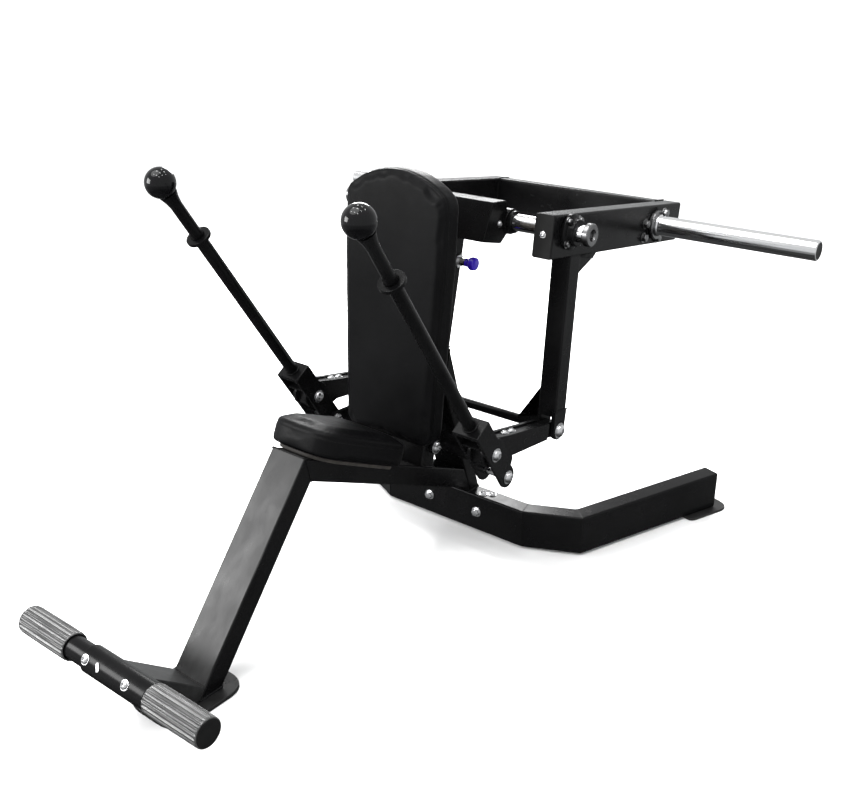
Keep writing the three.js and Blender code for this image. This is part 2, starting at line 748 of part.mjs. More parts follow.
function ballKnob() {
  const flatAt = -KNOB_R + 5; // the ball is flat where the rod screws in
  const start = Math.asin(flatAt / KNOB_R);
  const steps = 12;
  const profile = Array.from({ length: steps + 1 }, (_, i) => {
    const angle = start + (Math.PI / 2 - start) * (i / steps);
    return [i === steps ? 0 : KNOB_R * Math.cos(angle), KNOB_R * Math.sin(angle)];
  });
  return standing(turned([[0, flatAt], ...profile], FINE)).translate(0, 0, leverLong);
}

// The link is a deep bar between the head's cheeks that thins to an eye on the carriage's pin.
function leverLink() {
  const eyeStart = linkLong - 42;
  const body = new THREE.Shape();
  body.moveTo(10, 36);
  body.absarc(0, 0, 33, Math.PI / 2, 1.5 * Math.PI, false);
  body.lineTo(66, -35);
  body.lineTo(84, -24);
  body.lineTo(eyeStart, -17);
  body.lineTo(eyeStart, 25);
  body.closePath();
  const eye = new THREE.Shape();
  eye.moveTo(eyeStart - 10, -15);
  eye.lineTo(linkLong, -21);
  eye.absarc(linkLong, 0, 21, -Math.PI / 2, Math.PI / 2, false);
  eye.lineTo(eyeStart - 10, 22);
  eye.closePath();
  const frontHole = roundBar(BOLT_R + 0.5, -50, 50, COARSE);
  const looseHole = at(roundBar(LOWER_PIN_R + PIN_PLAY, -50, 50, COARSE), [linkLong, 0]);
  return cut(join(prism(body, 46, "x"), prism(eye, 24, "x")), frontHole, looseHole);
}

for (const [name, side] of SIDES) {
  const lever = turnedGroup(side * LEVER_X, LEVER_PIVOT, THREE.MathUtils.radToDeg(leverLean));
  place(`lever_head_${name}`, "black_paint", leverHead(), lever);
  place(`lever_rod_${name}`, "black_paint", leverRod(), lever);
  const collar = standing(ring(28.5, 15 + GAP, COLLAR_AT - 4.5, COLLAR_AT + 4.5, FINE));
  place(`lever_collar_${name}`, "black_paint", collar, lever);
  place(`lever_knob_${name}`, "black_paint", ballKnob(), lever);
  const clamp = HEAD_HALF_X + 0.6;
  const boltAcross = at(bolt(BOLT_R, 13, -clamp, clamp, true), [0, LINK_RISE]);
  place(`link_bolt_${name}`, "chrome", boltAcross, lever);

  const linkTilt = THREE.MathUtils.radToDeg(linkLine.angle());
  const link = turnedGroup(side * LEVER_X, linkBolt.toArray(), linkTilt);
  place(`lever_link_${name}`, "black_paint", leverLink(), link);
}

// ---------------------------------------------------------------------------------------------------
// Backrest: a cushion on a board, hinged at the post's foot and indexed by a pull pin
// ---------------------------------------------------------------------------------------------------
const back = turnedGroup(0, BACK_HINGE, -BACK_LEAN);

// The cushion's outline in its own plane; its sides draw in below the waist.
function backOutline(inset) {
  const half = BACK_HALF - inset;
  const low = BACK_HALF_LOW - inset;
  const bottom = BACK_BOTTOM + inset;
  const corner = 40;
  const aboveCorner = low + (corner * (half - low)) / (BACK_WAIST - bottom);
  const rise = BACK_TOP - BACK_SHOULDER;
  const archR = (BACK_HALF ** 2 + rise ** 2) / (2 * rise) - inset;
  const archZ = BACK_TOP - inset - archR;
  const swing = Math.asin((half - 14) / archR);
  const archStart = [archR * Math.sin(swing), archZ + archR * Math.cos(swing)];
  const shoulder = BACK_SHOULDER - 22;
  const shoulderBend = BACK_SHOULDER - inset * 0.6;
  const shape = new THREE.Shape();
  shape.moveTo(-aboveCorner, bottom + corner);
  shape.quadraticCurveTo(-low, bottom, -low + corner, bottom);
  shape.lineTo(low - corner, bottom);
  shape.quadraticCurveTo(low, bottom, aboveCorner, bottom + corner);
  shape.lineTo(half, BACK_WAIST);
  shape.lineTo(half, shoulder);
  shape.quadraticCurveTo(half, shoulderBend, ...archStart);
  shape.absarc(0, archZ, archR, Math.PI / 2 - swing, Math.PI / 2 + swing, false);
  shape.quadraticCurveTo(-half, shoulderBend, -half, shoulder);
  shape.lineTo(-half, BACK_WAIST);
  shape.closePath();
  return shape;
}
const boardFront = BACK_FRONT + BACK_THICK + GAP;
const boardRear = boardFront + BACK_BOARD;
place("backrest_pad", "vinyl", prism(backOutline(0), BACK_THICK, "y"), back).position.y =
  BACK_FRONT + BACK_THICK / 2;
place("backrest_board", "plywood", prism(backOutline(12), BACK_BOARD, "y"), back).position.y =
  boardFront + BACK_BOARD / 2;

// Two cheeks beside the post, from round the hinge bolt up to the board, tied by a plate on the board.
function backrestHinge() {
  const face = boardRear + GAP;
  const knuckle = 18;
  const plateFrom = 110;
  const plateTo = 250;
  const cheek = new THREE.Shape();
  cheek.moveTo(-knuckle, 0);
  cheek.absarc(0, 0, knuckle, Math.PI, 2 * Math.PI, false);
  cheek.lineTo(knuckle - 2, 95);
  cheek.lineTo(-20, 200);
  cheek.lineTo(-50, plateTo);
  cheek.lineTo(face, plateTo);
  cheek.lineTo(face, plateFrom);
  cheek.lineTo(-knuckle, 70);
  cheek.closePath();
  const cheekX = FLAT / 2 + 6.5;
  const cheeks = [-1, 1].map((end) => prism(cheek, 8, "x").translate(end * cheekX, 0, 0));
  const tie = new THREE.BoxGeometry(2 * cheekX, 5, plateTo - plateFrom);
  tie.translate(0, face + 2.5, (plateFrom + plateTo) / 2);
  return cut(join(...cheeks, tie), roundBar(BOLT_R + 0.5, -FLAT, FLAT, COARSE));
}
place("backrest_hinge", "black_paint", backrestHinge(), back);
const hingeClamp = FLAT / 2 + 11.2;
place("backrest_hinge_bolt", "chrome", at(bolt(BOLT_R, 14, -hingeClamp, hingeClamp, true), BACK_HINGE));

const sectorReach = new THREE.Vector2(PULL_PIN[0] - BACK_HINGE[0], PULL_PIN[1] - BACK_HINGE[1]);
const sectorR = sectorReach.length();
const pinAngle = Math.atan2(sectorReach.x, sectorReach.y); // from the vertical, to the rear
function backrestSector() {
  const [y, z] = BACK_HINGE;
  const from = Math.PI / 2 - pinAngle - radians(2.6);
  const to = Math.PI / 2 + radians(3.5);
  const bar = new THREE.Shape();
  bar.absarc(y, z, sectorR + SECTOR_HALF, from, to, false);
  bar.absarc(y, z, sectorR - SECTOR_HALF, to, from, true);
  bar.closePath();
  const holes = [0, 2.5, 5, 7.5].map((step) => {
    const angle = pinAngle - radians(step);
    const spot = [y + sectorR * Math.sin(angle), z + sectorR * Math.cos(angle)];
    return at(roundBar(5.6, -FLAT, FLAT, 16), spot);
  });
  return cut(prism(bar, SECTOR_THICK, "x").translate(SECTOR_X, 0, 0), ...holes);
}
place("backrest_sector", "chrome", backrestSector());

const housingEnd = 74;
const housing = ring(12, 5.4, FLAT / 2 + GAP, housingEnd, COARSE);
place("pull_pin_housing", "chrome", at(housing, PULL_PIN));
const pinTip = SECTOR_X + SECTOR_THICK / 2 + 1;
const plunger = turned(
  [
    [0, pinTip],
    [5, pinTip],
    [5, housingEnd + 2],
    [10, housingEnd + 2],
    [11, housingEnd + 9],
    [16, housingEnd + 14],
    [16, housingEnd + 27],
    [12, housingEnd + 30],
    [0, housingEnd + 30],
  ],
  COARSE,
);
place("pull_pin_plunger", "blue_plastic", at(plunger, PULL_PIN));

export default machine;
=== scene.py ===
import math

import bmesh
import bpy
from mathutils import Matrix, Vector
from mathutils.bvhtree import BVHTree
from mathutils.kdtree import KDTree


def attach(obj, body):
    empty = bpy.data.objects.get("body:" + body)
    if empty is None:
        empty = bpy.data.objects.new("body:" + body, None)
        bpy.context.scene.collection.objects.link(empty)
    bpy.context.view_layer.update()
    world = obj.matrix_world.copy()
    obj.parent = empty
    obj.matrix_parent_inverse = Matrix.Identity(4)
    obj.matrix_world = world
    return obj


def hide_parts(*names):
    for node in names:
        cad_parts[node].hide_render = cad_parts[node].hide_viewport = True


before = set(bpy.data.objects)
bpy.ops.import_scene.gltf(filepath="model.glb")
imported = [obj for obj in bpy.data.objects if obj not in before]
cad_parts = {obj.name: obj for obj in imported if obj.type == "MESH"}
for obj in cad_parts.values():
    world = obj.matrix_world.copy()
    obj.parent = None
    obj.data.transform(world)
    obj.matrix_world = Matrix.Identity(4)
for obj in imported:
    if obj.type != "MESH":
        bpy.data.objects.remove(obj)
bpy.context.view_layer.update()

scene = bpy.context.scene
MM = 0.001
SIDES = (("left", 1), ("right", -1))
CREASE = math.radians(38)  # an edge folded more than this is drawn sharp

# ---- Where things are, in millimetres, as in the CAD model
ELBOW = (281, 436)
SPINE_SLOPE = math.radians(23.5)
SPINE_END = 855
DEEP = 50  # of every box tube, seen from the side
CORNER = 4.5  # rounding along the wide tubes
FOOT_BAR = (-210, 154)
FOOT_BAR_HALF = 277
AXLE = (898, 848)
CARRIAGE_TILT = math.radians(7)
ARM_X = 276
ARM_HALF = 25
ARM_BOTTOM = -60  # from the axle, down the tilted carriage
HORN = (430, -10)  # from the axle, along and up the tilted carriage
HORN_END = 725
LOWER_PIN = (901, 353)
LEVER_X = 274
LEVER_PIVOT = (670, 320)
CROSS_TUBE = (767, 300)
BRACKET_X = 230
KNOB = (222, 991)
BACK_HINGE = (722, 303)
BACK_LEAN = math.radians(3.9)
PULL_PIN = (814, 756)

LEVER_LONG = math.dist(KNOB, LEVER_PIVOT)
LEVER_LEAN = math.atan2(LEVER_PIVOT[0] - KNOB[0], KNOB[1] - LEVER_PIVOT[1])
LINK_RISE = 90
LINK_BOLT = (
    LEVER_PIVOT[0] - LINK_RISE * math.sin(LEVER_LEAN),
    LEVER_PIVOT[1] + LINK_RISE * math.cos(LEVER_LEAN),
)
LINK_LONG = math.dist(LINK_BOLT, LOWER_PIN)
LINK_TILT = math.atan2(LOWER_PIN[1] - LINK_BOLT[1], LOWER_PIN[0] - LINK_BOLT[0])


def placed(x, y, z, turn=0.0):
    return Matrix.Translation((x, y, z)) @ Matrix.Rotation(turn, 4, "X")


CARRIAGE = placed(0, *AXLE, -CARRIAGE_TILT)
SEAT = placed(0, *ELBOW, -SPINE_SLOPE)
BACK = placed(0, *BACK_HINGE, -BACK_LEAN)


# ---- Camera and light
def make_camera():
    data = bpy.data.cameras.new("camera")
    data.sensor_width = 36
    data.lens = 44.3
    camera = bpy.data.objects.new("camera", data)
    camera.location = (1.4805, -1.1108, 1.410)
    camera.rotation_euler = (math.radians(90 - 23.2), 0, math.radians(38.7))
    scene.collection.objects.link(camera)
    scene.camera = camera


def area_light(name, at, towards, size, power, mirrored=True):
    data = bpy.data.lights.new(name, "AREA")
    data.shape = "RECTANGLE"
    data.size, data.size_y = size
    data.energy = power
    light = bpy.data.objects.new(name, data)
    light.location = at
    light.rotation_euler = (Vector(towards) - Vector(at)).to_track_quat("-Z", "Y").to_euler()
    light.visible_glossy = mirrored
    scene.collection.objects.link(light)


def make_sky():
    """A sky that is pale above the horizon and dark well below it, where only reflections see it."""
    world = bpy.data.worlds.new("studio")
    world.use_nodes = True
    nodes, links = world.node_tree.nodes, world.node_tree.links
    direction = nodes.new("ShaderNodeTexCoord").outputs["Generated"]
    height = nodes.new("ShaderNodeSeparateXYZ")
    links.new(direction, height.inputs[0])
    # Straight down is 0, the horizon is 0.5 and straight up is 1.
    share = nodes.new("ShaderNodeMath")
    share.operation = "MULTIPLY_ADD"
    share.inputs[1].default_value = share.inputs[2].default_value = 0.5
    links.new(height.outputs["Z"], share.inputs[0])
    shade = nodes.new("ShaderNodeValToRGB")
    stops = ((0.17, 0.06), (0.225, 0.32), (0.33, 0.4), (0.4, 0.9))
    elements = shade.color_ramp.elements
    for position, _ in stops[1:]:
        elements.new(position)
    # The ramp's own last stop stays, which is white and straight up.
    for element, (position, level) in zip(elements, stops):
        element.position = position
        element.color = (0.97 * level, 0.99 * level, level, 1)
    links.new(share.outputs[0], shade.inputs["Fac"])
    background = nodes["Background"]
    links.new(shade.outputs["Color"], background.inputs["Color"])
    background.inputs["Strength"].default_value = 0.9
    scene.world = world


def make_light():
    make_sky()
    area_light("front_softbox", (-1.9, -1.75, 1.4), (0, 0.1, 0.2), (1.4, 1.1), 80)
    area_light("rear_softbox", (-2.0, 3.1, 2.0), (0, 0.7, 0.4), (1.6, 1.0), 95)
    area_light("rear_strip", (-0.85, 3.0, 2.6), (0, 0.68, 0.98), (1.8, 0.9), 240, mirrored=False)
    for i in range(9):
        lamp_at = (-0.9 + 0.9 * (i % 3), -0.9 + 1.1 * (i // 3), 3.1)
        area_light(f"ceiling_lamp_{i + 1}", lamp_at, (lamp_at[0], lamp_at[1], 0), (0.3, 0.12), 5)
    sun = bpy.data.lights.new("soft_sun", "SUN")
    sun.energy = 2.3
    sun.angle = math.radians(50)
    light = bpy.data.objects.new("soft_sun", sun)
    light.rotation_euler = (math.radians(18), math.radians(-14), 0)
    scene.collection.objects.link(light)
    scene.view_settings.view_transform = "Standard"


# ---- Materials
class Surface:
    """A procedural material: a Principled shader with textures in the piece's own metres."""

    def __init__(self, name, colour, roughness, metallic=0.0, **sockets):
        self.material = bpy.data.materials.new(name)
        self.material.use_nodes = True
        self.nodes = self.material.node_tree.nodes
        self.links = self.material.node_tree.links
        self.shader = self.nodes["Principled BSDF"]
        self.shader.inputs["Base Color"].default_value = (*colour, 1)
        self.shader.inputs["Roughness"].default_value = roughness
        self.shader.inputs["Metallic"].default_value = metallic
        for socket, value in sockets.items():
            self.shader.inputs[socket.replace("_", " ")].default_value = value
        self.place = self.nodes.new("ShaderNodeTexCoord").outputs["Object"]
        self.last_bump = None

    def stretched(self, scale):
        node = self.nodes.new("ShaderNodeMapping")
        node.inputs["Scale"].default_value = scale
        self.links.new(self.place, node.inputs["Vector"])
        return node.outputs["Vector"]

    def noise(self, scale, detail=4.0, stretch=None, roughness=0.55):
        node = self.nodes.new("ShaderNodeTexNoise")
        node.inputs["Scale"].default_value = scale
        node.inputs["Detail"].default_value = detail
        node.inputs["Roughness"].default_value = roughness
        source = self.stretched(stretch) if stretch else self.place
        self.links.new(source, node.inputs["Vector"])
        return node.outputs["Fac"]

    def cell_edges(self, scale):
        node = self.nodes.new("ShaderNodeTexVoronoi")
        node.feature = "DISTANCE_TO_EDGE"
        node.inputs["Scale"].default_value = scale
        self.links.new(self.place, node.inputs["Vector"])
        return node.outputs["Distance"]

    def ramp(self, source, stops):
        node = self.nodes.new("ShaderNodeValToRGB")
        ramp = node.color_ramp
        while len(ramp.elements) < len(stops):
            ramp.elements.new(0.5)
        for element, (position, colour) in zip(ramp.elements, stops):
            element.position = position
            element.color = (*colour, 1) if isinstance(colour, tuple) else (colour, colour, colour, 1)
        self.links.new(source, node.inputs["Fac"])
        return node.outputs["Color"]

    def drive(self, socket, source):
        self.links.new(source, self.shader.inputs[socket])

    def bump(self, source, strength, distance):
        node = self.nodes.new("ShaderNodeBump")
        node.inputs["Strength"].default_value = strength
        node.inputs["Distance"].default_value = distance
        self.links.new(source, node.inputs["Height"])
        if self.last_bump:
            self.links.new(self.last_bump, node.inputs["Normal"])
        self.last_bump = node.outputs["Normal"]
        self.drive("Normal", self.last_bump)


def powder_coat(name, dark, light, smooth, rough, specular):
    s = Surface(name, (dark, dark, dark), smooth, Specular_IOR_Level=specular)
    patches = s.noise(7, 5)
    low, high = (dark, dark, dark * 1.08), (light, light, light * 1.05)
    s.drive("Base Color", s.ramp(patches, [(0.35, low), (0.75, high)]))
    scuffs = s.noise(26, 8, stretch=(1, 1, 1.6), roughness=0.7)
    s.drive("Roughness", s.ramp(scuffs, [(0.3, smooth), (0.72, rough)]))
    s.bump(s.noise(700, 2), 0.03, 0.0001)
    s.bump(s.noise(60, 3), 0.04, 0.0004)
    return s.material


def scuffed_and_sheen_coat():
    s = Surface("scuffed_and_sheen_powder_coat", (0.02, 0.02, 0.02), 0.35, Specular_IOR_Level=0.2)
    wear_and_sheen = s.noise(9, 9, stretch=(1.5, 1, 0.6), roughness=0.62)
    # The base colour is far paler than the black paint: partly wear, and partly a painted sheen for the lit
    # faces that it is put on.
    s.drive("Base Color", s.ramp(wear_and_sheen, [(0.38, 0.004), (0.58, 0.012), (0.78, 0.04)]))
    s.drive("Roughness", s.ramp(wear_and_sheen, [(0.35, 0.24), (0.7, 0.46)]))
    scratches = s.noise(42, 10, stretch=(7, 0.6, 0.6), roughness=0.8)
    s.bump(s.ramp(scratches, [(0.6, 0.0), (0.66, 1.0)]), 0.12, 0.0002)
    s.bump(s.noise(950, 2), 0.06, 0.0002)
    return s.material


def chromed(name, colour, low, high, stretch):
    s = Surface(name, (colour, colour, colour * 1.01), low, 1.0)
    tint = s.noise(14, 3)
    duller, brighter = (colour * 0.9, colour * 0.9, colour * 0.91), (colour, colour, colour * 1.01)
    s.drive("Base Color", s.ramp(tint, [(0.3, duller), (0.7, brighter)]))
    lines = s.noise(60, 6, stretch=stretch, roughness=0.65)
    s.drive("Roughness", s.ramp(lines, [(0.35, low), (0.7, high)]))
    s.bump(lines, 0.035, 0.0003)
    return s.material


def upholstery():
    s = Surface("black_vinyl", (0.003, 0.003, 0.0033), 0.42, Specular_IOR_Level=0.08)
    cells = s.cell_edges(620)
    broad = s.noise(5, 4)
    dark, light = (0.0016, 0.0016, 0.0018), (0.0034, 0.0034, 0.0038)
    s.drive("Base Color", s.ramp(broad, [(0.35, dark), (0.75, light)]))
    s.drive("Roughness", s.ramp(s.noise(22, 6), [(0.3, 0.36), (0.72, 0.48)]))
    s.bump(s.ramp(cells, [(0.0, 0.0), (0.16, 1.0)]), 0.22, 0.0003)
    s.bump(s.noise(140, 5), 0.12, 0.0006)
    s.bump(s.noise(11, 3), 0.08, 0.002)
    return s.material


def rubber(name, dark, light, rough, grain, specular=0.2):
    s = Surface(name, (dark, dark, dark), rough, Specular_IOR_Level=specular)
    s.drive("Base Color", s.ramp(s.noise(18, 6), [(0.32, dark), (0.7, light)]))
    s.drive("Roughness", s.ramp(s.noise(35, 5), [(0.3, rough - 0.08), (0.7, rough + 0.1)]))
    s.bump(s.noise(grain, 3), 0.25, 0.0003)
    return s.material


def plastic(name, colour, low, high, specular, coat):
    s = Surface(name, colour, low, Specular_IOR_Level=specular, Coat_Weight=coat, Coat_Roughness=0.05)
    darker = tuple(c * 0.75 for c in colour)
    s.drive("Base Color", s.ramp(s.noise(30, 3), [(0.3, darker), (0.7, colour)]))
    s.drive("Roughness", s.ramp(s.noise(55, 5), [(0.35, low), (0.7, high)]))
    s.bump(s.noise(420, 2), 0.03, 0.0002)
    return s.material


def stained_board():
    s = Surface("stained_board", (0.02, 0.018, 0.016), 0.6, Specular_IOR_Level=0.3)
    grain = s.noise(30, 8, stretch=(12, 1, 1), roughness=0.7)
    s.drive("Base Color", s.ramp(grain, [(0.35, (0.014, 0.012, 0.011)), (0.68, (0.04, 0.035, 0.03))]))
    s.drive("Roughness", s.ramp(grain, [(0.3, 0.5), (0.7, 0.75)]))
    s.bump(grain, 0.2, 0.0004)
    return s.material


def pale_floor():
    s = Surface("pale_floor", (0.86, 0.86, 0.86), 0.75, Specular_IOR_Level=0.1)
    s.drive("Base Color", s.ramp(s.noise(1.2, 3), [(0.3, 0.862), (0.7, 0.868)]))
    return s.material


PAINT = powder_coat("black_powder_coat", 0.0025, 0.005, 0.18, 0.3, 0.1)
SCUFFED_AND_SHEEN = scuffed_and_sheen_coat()
CHROME = chromed("polished_chrome", 0.78, 0.1, 0.24, (0.12, 2.2, 2.2))
ZINC = chromed("bright_zinc", 0.66, 0.2, 0.36, (1, 1, 1))
DARK_STEEL = chromed("dark_steel", 0.2, 0.2, 0.36, (1, 1, 1))
VINYL = upholstery()
THREAD = rubber("seam_thread", 0.014, 0.024, 0.6, 2500)
GRIP = rubber("grey_grip_rubber", 0.026, 0.052, 0.3, 1300, 0.7)
FOOT = rubber("black_foot_rubber", 0.012, 0.022, 0.42, 900)
CAP = rubber("black_end_cap", 0.004, 0.008, 0.45, 1500, 0.15)
BALL = plastic("black_ball", (0.003, 0.003, 0.0034), 0.06, 0.13, 0.22, 0.05)
BLUE = plastic("blue_violet_plastic", (0.03, 0.01, 0.36), 0.16, 0.28, 0.4, 0.2)
BOARD = stained_board()


# ---- Mesh tools, in millimetres
def sharp_edges(bm, degrees=30):
    limit = math.radians(degrees)
    return [e for e in bm.edges if len(e.link_faces) == 2 and e.calc_face_angle(0) > limit]


def bevel(bm, edges, width, segments):
    bmesh.ops.bevel(
        bm, geom=edges, offset=width, segments=segments, profile=0.5, affect="EDGES", clamp_overlap=True
    )


def object_from(bm, name):
    mesh = bpy.data.meshes.new(name)
    bm.to_mesh(mesh)
    bm.free()
    piece = bpy.data.objects.new(name, mesh)
    scene.collection.objects.link(piece)
    return piece


def publish(bm, name, material, body, replaces=None, matrix=None):
    """Makes a piece from a mesh in millimetres; replaces is the CAD node that it stands for."""
    if matrix:
        bm.transform(matrix)
    bm.transform(Matrix.Scale(MM, 4))
    bmesh.ops.recalc_face_normals(bm, faces=bm.faces)
    piece = object_from(bm, name)
    mesh = piece.data
    mesh.materials.append(material)
    mesh.polygons.foreach_set("use_smooth", [True] * len(mesh.polygons))
    mesh.set_sharp_from_angle(angle=CREASE)
    piece.modifiers.new("even_normals", "WEIGHTED_NORMAL").keep_sharp = True
    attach(piece, body)
    if replaces:
        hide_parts(replaces)
    return piece


def merge(*parts):
    whole = bmesh.new()
    for part in parts:
        carrier = bpy.data.meshes.new("part")
        part.to_mesh(carrier)
        part.free()
        whole.from_mesh(carrier)
        bpy.data.meshes.remove(carrier)
    return whole


def hull_of(node):
    """The solid outer shape of a convex CAD node, in millimetres."""
    bm = bmesh.new()
    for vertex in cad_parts[node].data.vertices:
        bm.verts.new(vertex.co / MM)
    made = bmesh.ops.convex_hull(bm, input=bm.verts)
    inside = {g for key in ("geom_interior", "geom_unused") for g in made[key]}
    bmesh.ops.delete(bm, geom=[g for g in inside if isinstance(g, bmesh.types.BMVert)], context="VERTS")
    bmesh.ops.remove_doubles(bm, verts=bm.verts, dist=0.05)
    bmesh.ops.dissolve_limit(bm, angle_limit=math.radians(2), verts=bm.verts, edges=bm.edges)
    return bm


def tube_of(node, radius=5.0):
    """A straight CAD tube with its long corners rounded."""
    bm = hull_of(node)
    longest = max(bm.edges, key=lambda e: e.calc_length())
    along = (longest.verts[1].co - longest.verts[0].co).normalized()
    rails = [
        e for e in sharp_edges(bm) if abs((e.verts[1].co - e.verts[0].co).normalized().dot(along)) > 0.995
    ]
    bevel(bm, rails, radius, 4)
    return bm


def prism(outline, low, high, axis="X"):
    """A solid between low and high along axis X or Y, from an outline in the other two axes."""
    bm = bmesh.new()
    rings = []
    for level in (low, high):
        places = [(level, a, b) if axis == "X" else (a, level, b) for a, b in outline]
        rings.append([bm.verts.new(place) for place in places])
    bm.faces.new(rings[0])
    bm.faces.new(list(reversed(rings[1])))
    for i in range(len(outline)):
        j = (i + 1) % len(outline)
        bm.faces.new((rings[0][i], rings[1][i], rings[1][j], rings[0][j]))
    bmesh.ops.recalc_face_normals(bm, faces=bm.faces)
    return bm


def plate(outline, low, high, axis="X", eased=1.2):
    bm = prism(outline, low, high, axis)
    bevel(bm, sharp_edges(bm, 50), eased, 2)
    return bm


def skin(bm, rings):
    """Joins each ring of vertices to the next one with quads."""
    for low, high in zip(rings, rings[1:]):
        for i in range(len(low)):
            j = (i + 1) % len(low)
            bm.faces.new((low[i], low[j], high[j], high[i]))


def arc(centre, radius, start, end, steps):
    angles = [math.radians(start + (end - start) * i / steps) for i in range(steps + 1)]
    return [(centre[0] + radius * math.cos(t), centre[1] + radius * math.sin(t)) for t in angles]


def rounded(corners, steps=8):
    """A closed outline whose corners (a, b, radius) are rounded."""
    points = []
    count = len(corners)
    for i, (a, b, radius) in enumerate(corners):
        here = Vector((a, b))
        before = Vector(corners[i - 1][:2]) - here
        after = Vector(corners[(i + 1) % count][:2]) - here
        enter = here + before.normalized() * radius
        leave = here + after.normalized() * radius
        for k in range(steps + 1):
            t = k / steps
            points.append(tuple(enter * (1 - t) ** 2 + here * (2 * t * (1 - t)) + leave * t * t))
    return points


def lathe(profile, segments=56, eased=0.6):
    """A solid turned about X; profile is (radius, x) from one end to the other."""
    bm = bmesh.new()
    rings = []
    for radius, x in profile:
        if radius < 1e-6:
            rings.append([bm.verts.new((x, 0, 0))])
            continue
        ring = []
        for i in range(segments):
            angle = 2 * math.pi * i / segments
            ring.append(bm.verts.new((x, radius * math.cos(angle), radius * math.sin(angle))))
        rings.append(ring)
    for low, high in zip(rings, rings[1:]):
        for i in range(segments):
            j = (i + 1) % segments
            quad = [low[i % len(low)], low[j % len(low)], high[j % len(high)], high[i % len(high)]]
            corners = list(dict.fromkeys(quad))
            if len(corners) > 2:
                bm.faces.new(corners)
    bmesh.ops.recalc_face_normals(bm, faces=bm.faces)
    if eased:
        edges = [e for e in sharp_edges(bm, 40) if abs(e.verts[0].co.x - e.verts[1].co.x) < 1e-4]
        bevel(bm, edges, eased, 2)
    return bm


def rod(radius, low, high, eased=0.8, segments=56):
    return lathe([(0, low), (radius, low), (radius, high), (0, high)], segments, eased)


def ring_of(outer, inner, low, high, eased=0.8):
    return lathe([(inner, low), (outer, low), (outer, high), (inner, high), (inner, low)], 56, eased)


def mirrored(side):
    return Matrix.Scale(side, 4, (1, 0, 0))


def moved(bm, matrix):
    bm.transform(matrix)
    return bm


def shifted(bm, x, y=0.0, z=0.0):
    return moved(bm, Matrix.Translation((x, y, z)))


def facing(x, y, z, direction):
    """A matrix that turns +X to direction and moves the origin to (x, y, z)."""
    turn = Vector((1, 0, 0)).rotation_difference(Vector(direction).normalized())
    return Matrix.Translation((x, y, z)) @ turn.to_matrix().to_4x4()


def hexagon(across, low, high):
    """A hexagonal prism about X."""
    bm = bmesh.new()
    radius = across / math.sqrt(3)
    bmesh.ops.create_cone(
        bm, cap_ends=True, segments=6, radius1=radius, radius2=radius, depth=high - low,
        matrix=Matrix.Translation(((low + high) / 2, 0, 0)) @ Matrix.Rotation(math.pi / 2, 4, "Y"),
    )
    return bm


def hex_bolt(across, tall):
    """A hexagon head with its chamfer and washer, standing on x = 0."""
    start = 1.8
    top = start + tall
    head = hexagon(across, start, top)
    brim = start + tall * 0.9
    bevel(head, [e for e in head.edges if all(v.co.x > brim for v in e.verts)], tall * 0.16, 2)
    bevel(head, sharp_edges(head, 45), 0.4, 1)
    dimple = lathe([(across * 0.36, top), (across * 0.33, top + 0.4), (0, top + 0.4)], 24, 0)
    radius = across / math.sqrt(3)
    return merge(head, dimple, ring_of(radius * 1.28, radius * 0.5, 0, start, 0.4))


def dome_bolt(radius):
    """A domed head with a hexagon socket, on its washer, standing on x = 0."""
    start = 1.6
    tall = radius * 0.62
    socket = radius * 0.42
    profile = [(radius * 0.97, start), (radius, start + tall * 0.18)]
    for k in range(1, 6):
        angle = math.radians(12 + 60 * k / 5)
        profile.append((radius * math.cos(angle), start + tall * (0.18 + 0.82 * math.sin(angle))))
    crown = profile[-1][1]
    profile = [p for p in profile if p[0] > socket * 1.15]
    profile += [(socket * 1.1, crown), (socket, crown - 0.4)]
    profile += [(socket, crown - tall * 0.55), (0, crown - tall * 0.7)]
    return merge(lathe([(0, start)] + profile, 36, 0), ring_of(radius * 1.25, radius * 0.5, 0, start, 0.4))


def sweep(points, radius, segments=8, ripple=0.0, pitch=5.0):
    """A round bead along a path; ripple makes it swell and thin like a weld."""
    path = [Vector(p) for p in points]
    dense = []
    for a, b in zip(path, path[1:]):
        steps = max(1, int((b - a).length / (pitch / 4)))
        dense += [a.lerp(b, i / steps) for i in range(steps)]
    dense.append(path[-1])
    bm = bmesh.new()
    rings = []
    run = 0.0
    for i, point in enumerate(dense):
        before, after = dense[max(i - 1, 0)], dense[min(i + 1, len(dense) - 1)]
        along = (after - before).normalized()
        side = along.orthogonal().normalized()
        if rings:
            side = (last_side - along * last_side.dot(along)).normalized()
        last_side = side
        up = along.cross(side)
        run += (point - before).length if i else 0
        swell = radius * (1 + ripple * abs(math.sin(math.pi * run / pitch)) - ripple / 2)
        if i in (0, len(dense) - 1):
            swell *= 0.45
        rings.append(
            [
                bm.verts.new(point + (side * math.cos(t) + up * math.sin(t)) * swell)
                for t in (2 * math.pi * k / segments for k in range(segments))
            ]
        )
    skin(bm, rings)
    bm.faces.new(list(reversed(rings[0])))
    bm.faces.new(rings[-1])
    return bm


def cross_bolt(half, head_radius, head_x, y, z):
    """A shank of radius 8 along X through (y, z), with a domed head at each end."""
    heads = [moved(dome_bolt(head_radius), facing(end * head_x, y, z, (end, 0, 0))) for end in (-1, 1)]
    return merge(shifted(rod(8, -half, half, 0.4, 32), 0, y, z), *heads)


def across(half, y, z):
    return [(-half, y, z), (half, y, z)]


def both_sides(x, *path):
    """The same path of (y, z) on each side of the middle."""
    return [[(side * x, y, z) for y, z in path] for _, side in SIDES]


def rounded_tube(node, body, *radius):
    """Stands for a straight CAD tube."""
    return publish(tube_of(node, *radius), f"rounded_{node}", PAINT, body, node)


def edges_above(bm, level, axis=2):
    return [e for e in sharp_edges(bm, 50) if all(v.co[axis] > level for v in e.verts)]


